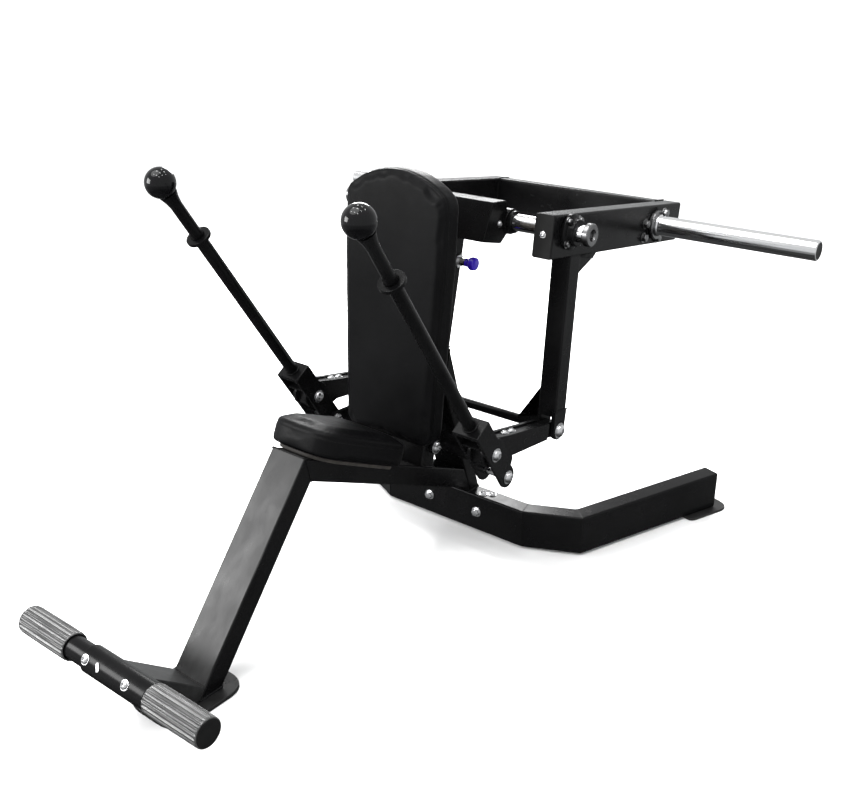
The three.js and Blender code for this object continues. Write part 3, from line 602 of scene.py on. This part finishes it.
def welds(name, body, paths, matrix=None, radius=2.6):
    beads = merge(*[sweep(path, radius, 8, 0.3, 4.5) for path in paths])
    publish(beads, name, PAINT, body, matrix=matrix)


def end_cap(name, body, matrix, size):
    """A moulded cap that closes a tube; size is (wide, tall), standing on x = 0."""
    a, b = size[0] / 2, size[1] / 2
    bm = prism(rounded([(-a, -b, 6), (a, -b, 6), (a, b, 6), (-a, b, 6)], 4), 0, 3.2)
    bevel(bm, edges_above(bm, 3, 0), 1.6, 3)
    publish(bm, name, CAP, body, matrix=matrix)


# ---- Base, leg and spine
def make_base():
    rounded_tube("base_front_tube", "frame")
    for part in ("corner", "rail"):
        for name, _ in SIDES:
            rounded_tube(f"base_{part}_{name}", "frame")
    seams = []
    for _, side in SIDES:
        for outer, inner in (((222, 875), (210.7, 925)), ((362, 942), (321.9, 978.2))):
            top = [(side * outer[0], outer[1], 109.2), (side * inner[0], inner[1], 109.2)]
            front = [(side * outer[0], outer[1], 10), (side * outer[0], outer[1], 106)]
            seams += [top, front]
    welds("base_corner_welds", "frame", seams, radius=1.5)
    for name, side in SIDES:
        along = Vector((side * 161, 450, 0)).normalized()
        middle = Vector((side * (523 + 475.9) / 2, (1392 + 1408.8) / 2, 58)) + along * 0.2
        end_cap(f"base_end_cap_{name}", "frame", facing(*middle, along), (DEEP - 1, 103))
        foot = hull_of(f"rear_foot_{name}")
        bevel(foot, edges_above(foot, 4), 1.8, 3)
        publish(foot, f"moulded_rear_foot_{name}", FOOT, "frame", f"rear_foot_{name}")
    for x in (-79, 79):
        publish(hex_bolt(19, 8), f"base_front_bolt_{'left' if x > 0 else 'right'}", ZINC, "frame",
                matrix=facing(x, 875, 61, (0, -1, 0)))
    for index, (x, y) in enumerate(((88, 893), (108, 905))):
        at = facing(x, y, 110, (0, 0, 1))
        publish(dome_bolt(9.5), f"base_top_nut_{index + 1}", ZINC, "frame", matrix=at)


def spine_top(y, lift=0.0):
    return (y, ELBOW[1] - (y - ELBOW[0]) * math.tan(SPINE_SLOPE) + lift)


def make_leg_and_spine():
    leg = rounded_tube("front_leg", "frame", CORNER)
    leg.data.materials.append(SCUFFED_AND_SHEEN)
    # The faces that look forwards take the paler scuffed coat: partly wear, and partly a painted sheen on
    # the face that the front softbox lights. The sides keep the black paint.
    for face in leg.data.polygons:
        if face.normal.y < -0.6:
            face.material_index = 1
    slope, lean = SPINE_SLOPE, math.radians(38.2)
    under_spine = Vector((-math.sin(slope), -math.cos(slope)))
    behind_leg = Vector((math.cos(lean), -math.sin(lean)))
    # The inner corner of the mitre is DEEP from both faces.
    p = Vector(ELBOW) + under_spine * DEEP
    q = Vector(ELBOW) + behind_leg * DEEP
    along, up = Vector((math.cos(slope), -math.sin(slope))), Vector((math.sin(lean), math.cos(lean)))
    t = ((q - p).x * up.y - (q - p).y * up.x) / (along.x * up.y - along.y * up.x)
    inner = p + along * t
    gap = along * 0.15
    drop = DEEP / math.cos(slope)
    outline = [tuple(Vector(ELBOW) + gap), spine_top(SPINE_END), (884, 110.3), (872, 110.3)]
    outline += [spine_top(SPINE_END + 5, -drop), tuple(inner + gap)]
    bm = prism(outline, -50, 50)
    rails = [e for e in sharp_edges(bm) if abs(e.verts[0].co.x - e.verts[1].co.x) < 1e-3]
    bevel(bm, [e for e in rails if e.calc_length() > 90], CORNER, 4)
    publish(bm, "rounded_spine", PAINT, "frame", "spine")
    seams = [across(48, *ELBOW)] + both_sides(50, ELBOW, inner)
    seams += [across(50, 885, 111)] + both_sides(50.5, (884, 111), (872, 111))
    welds("spine_welds", "frame", seams, radius=1.8)
    foot = hull_of("front_foot_plate")
    bevel(foot, edges_above(foot, 4), 1.6, 3)
    publish(foot, "eased_front_foot_plate", SCUFFED_AND_SHEEN, "frame", "front_foot_plate")
    floor_seam = 9.2
    seams = both_sides(50, (-56, floor_seam), (8, floor_seam)) + [across(50, 9, floor_seam)]
    welds("leg_foot_welds", "frame", seams)


# ---- Foot bar
def ribbed_grip(side):
    """A moulded grip: ribs along it that fade out at both rounded ends."""
    start, end = 124, FOOT_BAR_HALF
    ribs, per_rib = 20, 12
    stations = [
        (start, 27.6, 0.0), (start + 0.6, 29.6, 0.0), (start + 3, 30.8, 0.6), (start + 8, 31.0, 1.0),
        ((start + end) / 2, 31.2, 1.0), (end - 9, 31.0, 1.0), (end - 4, 30.8, 0.6), (end - 1.2, 30.4, 0.0),
        (end, 29.4, 0.0), (end, 25.5, 0.0),
    ]
    bm = bmesh.new()
    rings = []
    count = ribs * per_rib
    for x, radius, depth in stations:
        ring = []
        for i in range(count):
            angle = 2 * math.pi * i / count
            wave = 0.5 + 0.5 * math.cos(ribs * angle)
            groove = 2.8 * depth * (1 - min(1.0, wave * 1.5))
            r = radius - max(0.0, groove)
            ring.append(bm.verts.new((side * x, r * math.cos(angle), r * math.sin(angle))))
        rings.append(ring)
    skin(bm, rings)
    return bm


def make_foot_bar():
    arm = hull_of("foot_bar_arm")
    bevel(arm, [e for e in sharp_edges(arm, 25) if e.calc_length() > 20], 2.2, 3)
    publish(arm, "eased_foot_bar_arm", SCUFFED_AND_SHEEN, "frame", "foot_bar_arm")
    at = placed(0, *FOOT_BAR)
    sleeve = ring_of(29.5, 25.4, -65, 123.5, 1.0)
    publish(sleeve, "turned_foot_bar_sleeve", PAINT, "frame", "foot_bar_sleeve", at)
    publish(rod(25, -265, 265), "turned_foot_bar_tube", PAINT, "frame", "foot_bar_tube", at)
    for name, side in SIDES:
        publish(ribbed_grip(side), f"ribbed_foot_grip_{name}", GRIP, "frame", f"foot_grip_{name}", at)
        profile = [(0, 265.4), (24, 265.4), (24, 276.8), (28, 277.2), (28, 278.2), (26, 279), (0, 279.3)]
        publish(lathe(profile, eased=0.3), f"foot_grip_plug_{name}", CAP, "frame",
                matrix=at @ mirrored(side))
    up_front = (0, -0.80, 0.60)
    for index, x in enumerate((-52, 71)):
        spot = Vector((x, *FOOT_BAR)) + Vector(up_front) * 28.7
        publish(dome_bolt(8.5), f"foot_bar_bolt_{index + 1}", ZINC, "frame", matrix=facing(*spot, up_front))
    spot = Vector((-12, *FOOT_BAR)) + Vector(up_front) * 28.9
    outline = rounded([(-3.6, -9, 3.4), (3.6, -9, 3.4), (3.6, 9, 3.4), (-3.6, 9, 3.4)], 5)
    key = plate(outline, 0, 2.4, eased=0.7)
    publish(key, "foot_bar_key", ZINC, "frame", matrix=facing(*spot, up_front))


# ---- Post, head bracket, axle
def make_post():
    rounded_tube("post", "frame", CORNER)
    bracket = hull_of("head_bracket")
    bevel(bracket, sharp_edges(bracket, 20), 2.4, 3)
    publish(bracket, "eased_head_bracket", PAINT, "frame", "head_bracket")
    at = placed(0, *AXLE)
    publish(rod(20, -345, 345, 1.0, 72), "turned_axle", CHROME, "frame", "axle", at)
    for name, side in SIDES:
        here = at @ mirrored(side)
        collar = merge(ring_of(30, 20.4, 112, 146, 1.6), ring_of(26, 20.4, 146, 156, 1.2))
        publish(collar, f"axle_saddle_{name}", PAINT, "frame", matrix=here)
        profile = [(0, 345.3), (24, 345.3), (26.5, 348.3), (26.5, 358.3), (24, 361.3), (14, 361.3)]
        profile += [(12, 355.3), (7.5, 355.3), (6.5, 352), (0, 352)]
        cap = lathe(profile, 64, 0.5)
        publish(cap, f"turned_axle_cap_{name}", DARK_STEEL, "frame", f"axle_cap_{name}", here)
        publish(dome_bolt(6.5), f"head_bracket_bolt_{name}", ZINC, "frame",
                matrix=facing(side * 139.8, 853, 850, (side, 0, 0)))
        # A thin black ring on the floor of the cap's recess: painted shade that darkens the recess.
        publish(ring_of(11.8, 7.7, 355.4, 356.2, 0.2), f"axle_cap_painted_recess_shade_{name}", CAP, "frame", matrix=here)
    seams = [across(50, 793, 816.5)] + both_sides(50.5, (795, 816), (843, 805.5))
    seams += both_sides(50.5, spine_top(679, 1), spine_top(722, 1)) + [across(50, *spine_top(725, 1.5))]
    welds("post_welds", "frame", seams)
    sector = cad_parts["backrest_sector"].data.materials
    sector.clear()
    sector.append(ZINC)


def make_pull_pin():
    at = placed(0, *PULL_PIN)
    nut = hexagon(30, 50.3, 57.3)
    bevel(nut, sharp_edges(nut, 45), 0.8, 2)
    profile = [(5.4, 50.3), (12, 50.3), (12, 56), (9.6, 57), (9.6, 74), (5.4, 74), (5.4, 50.3)]
    housing = merge(lathe(profile, 40, 0.4), nut)
    publish(housing, "turned_pull_pin_housing", ZINC, "frame", "pull_pin_housing", at)
    publish(rod(5, 43, 78, 0.6, 28), "pull_pin_stem", ZINC, "pull_pin", matrix=at)
    profile = [(0, 76), (10, 76), (10.6, 78), (9.4, 82), (10.6, 85.5), (14.8, 88.6), (16.2, 92), (16.2, 99)]
    profile += [(14.6, 102.6), (10, 104), (0, 104.2)]
    publish(lathe(profile, 48, 0.5), "pull_pin_knob", BLUE, "pull_pin", "pull_pin_plunger", at)


# ---- Brace behind the post, and the cross tube with a bracket at each end
def two_ended(first, first_radius, second, second_radius):
    """The outline of a plate with two round ends joined by their outer tangents."""
    heading = math.degrees(math.atan2(second[1] - first[1], second[0] - first[0]))
    tangent = math.degrees(math.acos((first_radius - second_radius) / math.dist(first, second)))
    outline = arc(second, second_radius, heading - tangent, heading + tangent, 14)
    return outline + arc(first, first_radius, heading + tangent, heading - tangent + 360, 22)


def make_cross_tube():
    rounded_tube("rear_brace", "frame", CORNER)
    at = placed(0, *CROSS_TUBE)
    half = BRACKET_X - 6.3
    saddle = plate([(-35.6, -18), (0, -18), (0, 18), (-28, 18)], -45, 45, eased=0.8)
    whole = merge(rod(25, -half, half, 1.2), saddle)
    publish(whole, "turned_cross_tube", PAINT, "frame", "lever_cross_tube", at)
    for name, side in SIDES:
        mirror = mirrored(side)
        shape = two_ended(CROSS_TUBE, 33, LEVER_PIVOT, 17)
        bracket = plate(shape, BRACKET_X - 6, BRACKET_X + 6)
        publish(bracket, f"eased_lever_bracket_{name}", PAINT, "frame", f"lever_bracket_{name}", mirror)
        shank = rod(8, 236.2, 311, 0.4, 32)
        head = shifted(dome_bolt(13), 309.3)
        turned = Matrix.Translation((BRACKET_X - 6, 0, 0)) @ Matrix.Rotation(math.pi, 4, "Z")
        inner = moved(hex_bolt(19, 8), turned)
        publish(merge(shank, head, inner), f"turned_lever_pivot_bolt_{name}", ZINC, "frame",
                matrix=mirror @ placed(0, *LEVER_PIVOT))
        ring = [(half - 0.4, y, z) for y, z in arc(CROSS_TUBE, 25, 0, 360, 24)]
        welds(f"cross_tube_weld_{name}", "frame", [ring], mirror, 2.2)
    seams = [across(50, 925, 111)] + both_sides(50.5, (887, 111), (923, 111))
    seams += both_sides(50.5, (767, 446), (787, 541)) + [across(50, 789, 545)]
    welds("rear_brace_welds", "frame", seams, radius=2.0)


# ---- Weight carriage
def in_carriage(y, z):
    p = CARRIAGE.inverted() @ Vector((0, y, z))
    return (p.y, p.z)


def make_hanging_bar(name, here, pin):
    inner, outer = ARM_X - ARM_HALF, ARM_X + ARM_HALF
    top = ARM_BOTTOM - 0.3
    foot_y, foot_z = 37, pin[1] + 38
    tube = prism([(17, top), (foot_y, foot_z), (foot_y + 50, foot_z), (67, top)], inner, outer)
    bevel(tube, [e for e in sharp_edges(tube) if e.calc_length() > 200], CORNER, 4)
    lug = [(foot_y - 2, foot_z + 14), (pin[0] - 24, pin[1])]
    lug += arc(pin, 24, 180, 360, 18)[1:]
    lug += [(foot_y + 52, foot_z + 14)]
    lugs = [plate(lug, inner - 0.6, inner + 10), plate(lug, outer - 10, outer + 0.6)]
    knee = [(66, top), (147, top), (134, top - 10), (70, top - 44), (66, top - 46)]
    whole = merge(tube, *lugs, plate(knee, inner + 4, outer - 4))
    publish(whole, f"rounded_carriage_bar_{name}", PAINT, "carriage", f"carriage_bar_{name}", here)
    # The brace runs inwards and down, from beside the bar to the lower rod.
    corners = ((1, 78), (1, -8), (-62, -22), (-66, -30), (-60, -36), (1, -36))
    brace = plate([(inner + x, foot_z + z) for x, z in corners], foot_y + 14, foot_y + 22, "Y")
    publish(brace, f"carriage_side_brace_{name}", PAINT, "carriage", matrix=here)
    welds(f"carriage_bar_welds_{name}", "carriage", [
        [(inner + 3, 16, top + 0.8), (outer - 3, 16, top + 0.8)],
        [(outer - 2, 18, top + 1), (outer - 2, 66, top + 1)],
        [(inner + 3, 68, top - 2), (inner + 3, 132, top - 10)],
        [(outer - 3, 68, top - 2), (outer - 3, 132, top - 10)],
        [(outer + 0.6, foot_y - 1, foot_z + 14), (outer + 0.6, foot_y + 51, foot_z + 14)],
    ], here, 2.2)
    lower_pin = merge(rod(9.5, 250.8, 302.5, 0.4, 36), shifted(dome_bolt(16), 302))
    publish(lower_pin, f"turned_lower_pin_{name}", ZINC, "carriage", f"carriage_lower_pin_{name}",
            here @ placed(0, *pin))


def make_axle_bearing(name, here):
    face = ARM_X + ARM_HALF + 0.3
    profile = ((20.5, 0), (40.5, 0), (41, 1), (41, 7), (39, 9), (32, 11.5), (30.5, 14), (30.5, 24),
               (28.5, 26), (20.5, 26), (20.5, 0))
    bearing = lathe([(radius, face + x) for radius, x in profile], 72)
    publish(bearing, f"turned_axle_bearing_{name}", PAINT, "carriage", f"axle_bearing_{name}", here)
    circle = [math.radians(45 + 90 * k) for k in range(4)]
    bolts = [shifted(hex_bolt(13, 6), face + 8.6, 35.5 * math.cos(a), 35.5 * math.sin(a)) for a in circle]
    publish(merge(*bolts), f"axle_bearing_bolts_{name}", DARK_STEEL, "carriage", matrix=here)


def make_plate_horn(name, here):
    face = ARM_X + ARM_HALF + 0.3
    thick = 12
    profile = ((0, 0), (36, 0), (37, 1), (37, 10.5), (35.5, thick), (0, thick))
    flange = lathe([(radius, face + x) for radius, x in profile], 72, 0.5)
    publish(flange, f"turned_horn_flange_{name}", DARK_STEEL, "carriage", f"horn_flange_{name}", here)
    start = face + thick
    profile = [(0, start + 0.3), (28, start + 0.3), (28, start + 5), (25, start + 7)]
    profile += [(25, HORN_END - 4), (23.6, HORN_END - 1), (21, HORN_END), (0, HORN_END)]
    plug = rod(20.5, HORN_END - 3, HORN_END + 0.5, 0.4)
    publish(plug, f"plate_horn_plug_{name}", CAP, "carriage", matrix=here)
    horn = lathe(profile, 72, 0.5)
    publish(horn, f"turned_plate_horn_{name}", CHROME, "carriage", f"plate_horn_{name}", here)
    spots = ((face, -55, 5), (start, 22, 30), (face, -55, -30), (face, 22, -36))
    bolts = [shifted(hex_bolt(18, 9), *spot) for spot in spots]
    publish(merge(*bolts), f"horn_bolts_{name}", DARK_STEEL, "carriage", matrix=here)


def make_arm_ends(name, side):
    for end, y, ahead in (("front", -68.2, -1), ("rear", 569.2, 1)):
        at = CARRIAGE @ facing(side * ARM_X, y, -10, (0, ahead, 0))
        end_cap(f"arm_{end}_cap_{name}", "carriage", at, (DEEP - 1, 99))
    publish(dome_bolt(6), f"arm_front_bolt_{name}", ZINC, "carriage",
            matrix=CARRIAGE @ facing(side * ARM_X, -71, -6, (0, -1, 0)))
    inner = ARM_X - ARM_HALF - 0.3
    welds(f"rear_beam_welds_{name}", "carriage", [
        [(inner, 518, -58), (inner, 518, 38)],
        [(inner, 519, 40.4), (inner, 568, 40.4)],
    ], CARRIAGE @ mirrored(side), 2.2)


def make_carriage():
    pin = in_carriage(*LOWER_PIN)
    for node in ("carriage_arm_left", "carriage_arm_right", "carriage_rear_beam"):
        rounded_tube(node, "carriage")
    publish(rod(12, -250.7, 250.7, 0.6, 40), "turned_lower_rod", PAINT, "carriage", "carriage_lower_rod",
            CARRIAGE @ placed(0, *pin))
    for name, side in SIDES:
        here = CARRIAGE @ mirrored(side)
        make_hanging_bar(name, here, pin)
        make_axle_bearing(name, here)
        make_plate_horn(name, here @ placed(0, *HORN))
        make_arm_ends(name, side)


# ---- Hand levers and links
def make_levers():
    for name, side in SIDES:
        at = placed(side * LEVER_X, *LEVER_PIVOT, LEVER_LEAN)
        body = f"lever_{name}"
        cheek = [(26, 184), (-26, 184), (-26, 6)] + arc((0, 0), 26, 180, 360, 18)
        cheek += [(26, 52), (33, 60), (35, 72), (35, 100), (31, 112), (26, 120)]
        cheeks = [plate(cheek, low, low + 8, eased=1.3) for low in (-35, 27)]
        lid = plate([(-25.6, 172), (25.6, 172), (25.6, 185), (-25.6, 185)], -34, 34, eased=1.3)
        web = plate([(20, 130), (25.4, 130), (25.4, 172), (20, 172)], -27.5, 27.5, eased=0.8)
        shelf = plate([(-24, 132), (20, 132), (20, 138), (-24, 138)], -27.5, 27.5, eased=0.8)
        head = merge(*cheeks, lid, web, shelf)
        publish(head, f"plated_lever_head_{name}", PAINT, body, f"lever_head_{name}", at)
        up = at @ Matrix.Rotation(-math.pi / 2, 4, "Y")
        top = LEVER_LONG - 28.3
        profile = [(0, 148), (15, 148), (15, 664), (13.5, 670), (13.5, top - 34), (16, top - 18)]
        profile += [(20.5, top - 2), (20.5, top), (0, top)]
        publish(lathe(profile, 48, 0.6), f"turned_lever_rod_{name}", PAINT, body, f"lever_rod_{name}", up)
        ring = ring_of(18.5, 14.6, 184.6, 188.4, 1.4)
        publish(ring, f"lever_rod_weld_{name}", PAINT, body, matrix=up)
        collar = merge(ring_of(28.5, 15.2, 645.5, 654.5, 1.8), ring_of(19.5, 15.2, 638, 646.5, 1.0))
        publish(collar, f"turned_lever_collar_{name}", PAINT, body, f"lever_collar_{name}", up)
        radius, flat = 33, -28
        start = math.asin(flat / radius)
        angles = [start + (math.pi / 2 - start) * k / 24 for k in range(24)]
        profile = [(0, LEVER_LONG + flat)]
        profile += [(radius * math.cos(a), LEVER_LONG + radius * math.sin(a)) for a in angles]
        profile.append((0, LEVER_LONG + radius))
        knob = lathe(profile, 56, 0)
        publish(knob, f"turned_lever_knob_{name}", BALL, body, f"lever_knob_{name}", up)
        bolt = cross_bolt(35, 13, 35.2, 0, LINK_RISE)
        publish(bolt, f"turned_link_bolt_{name}", ZINC, body, f"link_bolt_{name}", at)
        make_link(name, side)


def make_link(name, side):
    at = placed(side * LEVER_X, *LINK_BOLT, LINK_TILT)
    eye_from = LINK_LONG - 42
    body = arc((0, 0), 33, 100, 260, 16)
    body += [(66, -34), (84, -24), (eye_from, -17), (eye_from + 3, 2), (eye_from, 24), (60, 31), (10, 35)]
    sides = [plate(body, low, low + 10, eased=1.3) for low in (-23, 13)]
    core = [(-20, -24), (-20, 24), (20, 28), (eye_from - 4, 19), (eye_from - 4, -12), (82, -18), (60, -28)]
    tongue = arc((LINK_LONG, 0), 21, -90, 90, 18)
    tongue += [(eye_from - 14, 21), (eye_from - 14, -15)]
    eye = prism(tongue, -12, 12)
    bevel(eye, sharp_edges(eye, 50), 1.3, 2)
    whole = merge(*sides, plate(core, -13.5, 13.5, eased=0.8), eye)
    publish(whole, f"plated_link_{name}", PAINT, f"link_{name}", f"lever_link_{name}", at)
    heights = {y: 29.6 - (y - 60) * 0.03 - 2.5 for y in (82, 110)}
    nuts = [moved(dome_bolt(8), facing(0, y, z, (0, 0, 1))) for y, z in heights.items()]
    publish(merge(*nuts), f"link_top_bolts_{name}", ZINC, f"link_{name}", matrix=at)


# ---- Backrest frame and boards
def make_backrest_frame():
    face = -62.4
    cheek = arc((0, 0), 18, 180, 360, 18)
    cheek += [(16, 95), (-20, 200), (-50, 250), (face, 250), (face, 110), (-18, 70)]
    cheeks = [plate(cheek, low, low + 8, eased=1.4) for low in (52.5, -60.5)]
    outline = rounded([(-56, 110, 4), (56, 110, 4), (56, 250, 4), (-56, 250, 4)], 4)
    tie = plate(outline, face, face + 5, "Y", 1.0)
    publish(merge(*cheeks, tie), "plated_backrest_hinge", PAINT, "backrest", "backrest_hinge", BACK)
    bolt = cross_bolt(61, 14, 60.8, *BACK_HINGE)
    publish(bolt, "turned_backrest_hinge_bolt", ZINC, "frame", "backrest_hinge_bolt")
    for node, body in (("backrest_board", "backrest"), ("seat_board", "frame")):
        board = hull_of(node)
        bevel(board, sharp_edges(board, 50), 1.4, 2)
        publish(board, f"eased_{node}", BOARD, body, node)


# ---- Cushions. Each outline is drawn anticlockwise, flat on its board; w is the height above the board.
def resampled(points, step):
    closed = [Vector(p) for p in points]
    closed.append(closed[0])
    lengths = [0.0]
    for a, b in zip(closed, closed[1:]):
        lengths.append(lengths[-1] + (b - a).length)
    count = int(lengths[-1] / step)
    result, i = [], 0
    for k in range(count):
        want = lengths[-1] * k / count
        while lengths[i + 1] < want:
            i += 1
        span = lengths[i + 1] - lengths[i]
        result.append(closed[i].lerp(closed[i + 1], (want - lengths[i]) / span if span else 0))
    return result


def inset(points, by):
    """The outline moved inwards; it runs anticlockwise."""
    result = []
    for i, p in enumerate(points):
        along = (points[(i + 1) % len(points)] - points[i - 1]).normalized()
        result.append(p + Vector((-along.y, along.x)) * by)
    return result


def back_outline():
    half, half_low, low, waist, shoulder, high = 147, 130, 46, 480, 626, 683
    bend = 40
    above = half_low + bend * (half - half_low) / (waist - low)
    rise = high - shoulder
    arch = (half**2 + rise**2) / (2 * rise)
    centre = high - arch
    swing = math.asin((half - 14) / arch)
    corner = Vector((arch * math.sin(swing), centre + arch * math.cos(swing)))

    def curve(a, b, c):
        return [a * (1 - t) ** 2 + b * (2 * t * (1 - t)) + c * t * t for t in (k / 8 for k in range(9))]

    points = curve(Vector((-above, low + bend)), Vector((-half_low, low)), Vector((-half_low + bend, low)))
    points += curve(Vector((half_low - bend, low)), Vector((half_low, low)), Vector((above, low + bend)))
    points.append(Vector((half, waist)))
    points += curve(Vector((half, shoulder - 22)), Vector((half, shoulder)), corner)
    for k in range(1, 24):
        angle = swing - 2 * swing * k / 24
        points.append(Vector((arch * math.sin(angle), centre + arch * math.cos(angle))))
    far_corner = Vector((-corner.x, corner.y))
    points += curve(far_corner, Vector((-half, shoulder)), Vector((-half, shoulder - 22)))
    points.append(Vector((-half, waist)))
    return points


def seat_outline():
    return [Vector(p) for p in rounded([(-90, 6, 62), (90, 6, 62), (121, 262, 28), (-121, 262, 28)])]


def cushion_solid(outline, thick, shoulder):
    """A closed prism with a rounded shoulder at its top and a tucked lower edge."""
    layers = [(3.5, 0.8), (1.2, 4), (0, 10)]
    for k in range(5):
        angle = math.pi / 2 * k / 4
        layers.append((shoulder * (1 - math.cos(angle)), thick - shoulder + shoulder * math.sin(angle)))
    bm = bmesh.new()
    rings = []
    for by, w in layers:
        rings.append([bm.verts.new((p.x, p.y, w)) for p in inset(outline, by)])
    skin(bm, rings)
    bm.faces.new(list(reversed(rings[0])))
    bm.faces.new(rings[-1])
    bm.transform(Matrix.Scale(MM, 4))
    bmesh.ops.recalc_face_normals(bm, faces=bm.faces)
    return bm


def inflate(piece, cap):
    """Puffs the cover out with cloth pressure, moving no point further than cap metres."""
    group = piece.vertex_groups.new(name="on_board")
    group.add([v.index for v in piece.data.vertices if v.co.z < 0.004], 1.0, "REPLACE")
    rest = [v.co.copy() for v in piece.data.vertices]
    outwards = [v.normal.copy() for v in piece.data.vertices]
    cloth = piece.modifiers.new("cover", "CLOTH")
    cloth.settings.quality = 4
    cloth.settings.tension_stiffness = 8
    cloth.settings.compression_stiffness = 8
    cloth.settings.shear_stiffness = 5
    cloth.settings.use_pressure = True
    cloth.settings.uniform_pressure_force = 4.0
    cloth.settings.vertex_group_mass = "on_board"
    cloth.settings.effector_weights.gravity = 0
    last_frame = 20
    cloth.point_cache.frame_start, cloth.point_cache.frame_end = 1, last_frame
    for number in range(1, last_frame + 1):
        scene.frame_set(number)
    puffed = piece.evaluated_get(bpy.context.evaluated_depsgraph_get())
    blown = [v.co.copy() for v in puffed.data.vertices]
    piece.modifiers.remove(cloth)
    scene.frame_set(1)
    for vertex, start, end, outward in zip(piece.data.vertices, rest, blown, outwards):
        step = end - start
        # The foam inside holds the cover out, so it hardly sinks and hardly creeps sideways.
        push = step.dot(outward)
        step = outward * (push if push > 0 else push * 0.1) + (step - outward * push) * 0.15
        if step.length > cap:
            step *= cap / step.length
        vertex.co = start + step
    piece.vertex_groups.clear()


def seam_groove(mesh, path, depth, width):
    """Sinks the cover along a sewn line."""
    tree = KDTree(len(path))
    for i, p in enumerate(path):
        tree.insert(p, i)
    tree.balance()
    normals = [v.normal.copy() for v in mesh.vertices]
    for vertex, normal in zip(mesh.vertices, normals):
        gap = tree.find(vertex.co)[2]
        if gap < 4 * width:
            vertex.co -= normal * depth * math.exp(-((gap / width) ** 2))


def apply_modifiers(piece):
    shaped = piece.evaluated_get(bpy.context.evaluated_depsgraph_get())
    piece.data = bpy.data.meshes.new_from_object(shaped)
    piece.modifiers.clear()


def raise_crown(mesh, outline, thick, crown):
    """Lifts the middle of the cover, and keeps its underside just above the board."""
    middle_u = sum(p.x for p in outline) / len(outline) * MM
    low_v, high_v = min(p.y for p in outline) * MM, max(p.y for p in outline) * MM
    half_u = max(p.x for p in outline) * MM
    for vertex in mesh.vertices:
        if vertex.co.z > 0.5 * thick * MM:
            sideways = 1 - min(1.0, abs(vertex.co.x - middle_u) / half_u) ** 2
            upward = 1 - min(1.0, abs(2 * (vertex.co.y - low_v) / (high_v - low_v) - 1)) ** 4
            vertex.co.z += crown * MM * sideways * upward
        vertex.co.z = max(vertex.co.z, 0.0006)
    smooth = bmesh.new()
    smooth.from_mesh(mesh)
    every_axis = {f"use_axis_{letter}": True for letter in "xyz"}
    bmesh.ops.smooth_vert(smooth, verts=smooth.verts, factor=0.5, **every_axis)
    smooth.to_mesh(mesh)
    smooth.free()


def make_cushion(name, node, body, matrix, outline, thick, shoulder, cap, crown, seam_at):
    """A sewn cushion: cap limits how far it puffs, and its seam is seam_at above the board."""
    outline = resampled(outline, 6)
    bm = cushion_solid(outline, thick - cap * 0.6, shoulder)
    piece = object_from(bm, name)
    remesh = piece.modifiers.new("even_mesh", "REMESH")
    remesh.mode = "VOXEL"
    remesh.voxel_size = 0.005
    apply_modifiers(piece)
    inflate(piece, cap * MM)
    raise_crown(piece.data, outline, thick, crown)
    finer = piece.modifiers.new("fine", "SUBSURF")
    finer.levels = finer.render_levels = 1
    apply_modifiers(piece)
    fine = piece.data
    # The seam runs all round just under the shoulder: find it on the puffed cover.
    cover = BVHTree.FromPolygons([v.co for v in fine.vertices], [p.vertices for p in fine.polygons])
    seam, facing_out = [], []
    for p in resampled([tuple(q) for q in inset(outline, -12)], 3.5):
        spot, normal, _, _ = cover.find_nearest(Vector((p.x * MM, p.y * MM, seam_at * MM)))
        seam.append(spot)
        facing_out.append(normal)
    seam_groove(fine, seam, 0.0014, 0.0028)
    fine.transform(matrix_in_metres(matrix))
    fine.polygons.foreach_set("use_smooth", [True] * len(fine.polygons))
    fine.materials.append(VINYL)
    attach(piece, body)
    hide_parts(node)
    stitches = []
    for i in range(0, len(seam) - 1, 2):
        a, b = seam[i], seam[i + 1]
        lift = facing_out[i] * 0.0004 + Vector((0, 0, -0.0042))
        stitches.append(sweep([(a + lift) / MM, (a.lerp(b, 0.8) + lift) / MM], 0.45, 5, 0, 12))
    publish(merge(*stitches), f"{name}_stitches", THREAD, body, matrix=matrix)


def matrix_in_metres(matrix):
    scaled = matrix.copy()
    scaled.translation = matrix.translation * MM
    return scaled


def make_cushions():
    # The backrest's board is upright, and its front face is 71 mm ahead of the hinge.
    on_back = BACK @ Matrix(((1, 0, 0, 0), (0, 0, -1, -71), (0, 1, 0, 0), (0, 0, 0, 1)))
    make_cushion("backrest_cushion", "backrest_pad", "backrest", on_back, back_outline(),
                 thick=54, shoulder=5, cap=6, crown=2, seam_at=44)
    on_seat = SEAT @ Matrix.Translation((0, 0, 8.9))
    make_cushion("seat_cushion", "seat_pad", "frame", on_seat, seat_outline(),
                 thick=62, shoulder=13, cap=9, crown=5, seam_at=47)


def make_floor():
    bm = bmesh.new()
    bmesh.ops.create_grid(bm, x_segments=2, y_segments=2, size=60)
    floor = object_from(bm, "floor")
    floor.location.z = -0.0005
    floor.data.materials.append(pale_floor())
    floor.visible_glossy = False  # the paint and the chrome mirror a dark lower sky instead


make_camera()
make_light()
make_floor()
make_base()
make_leg_and_spine()
make_foot_bar()
make_post()
make_pull_pin()
make_cross_tube()
make_carriage()
make_levers()
make_backrest_frame()
make_cushions()
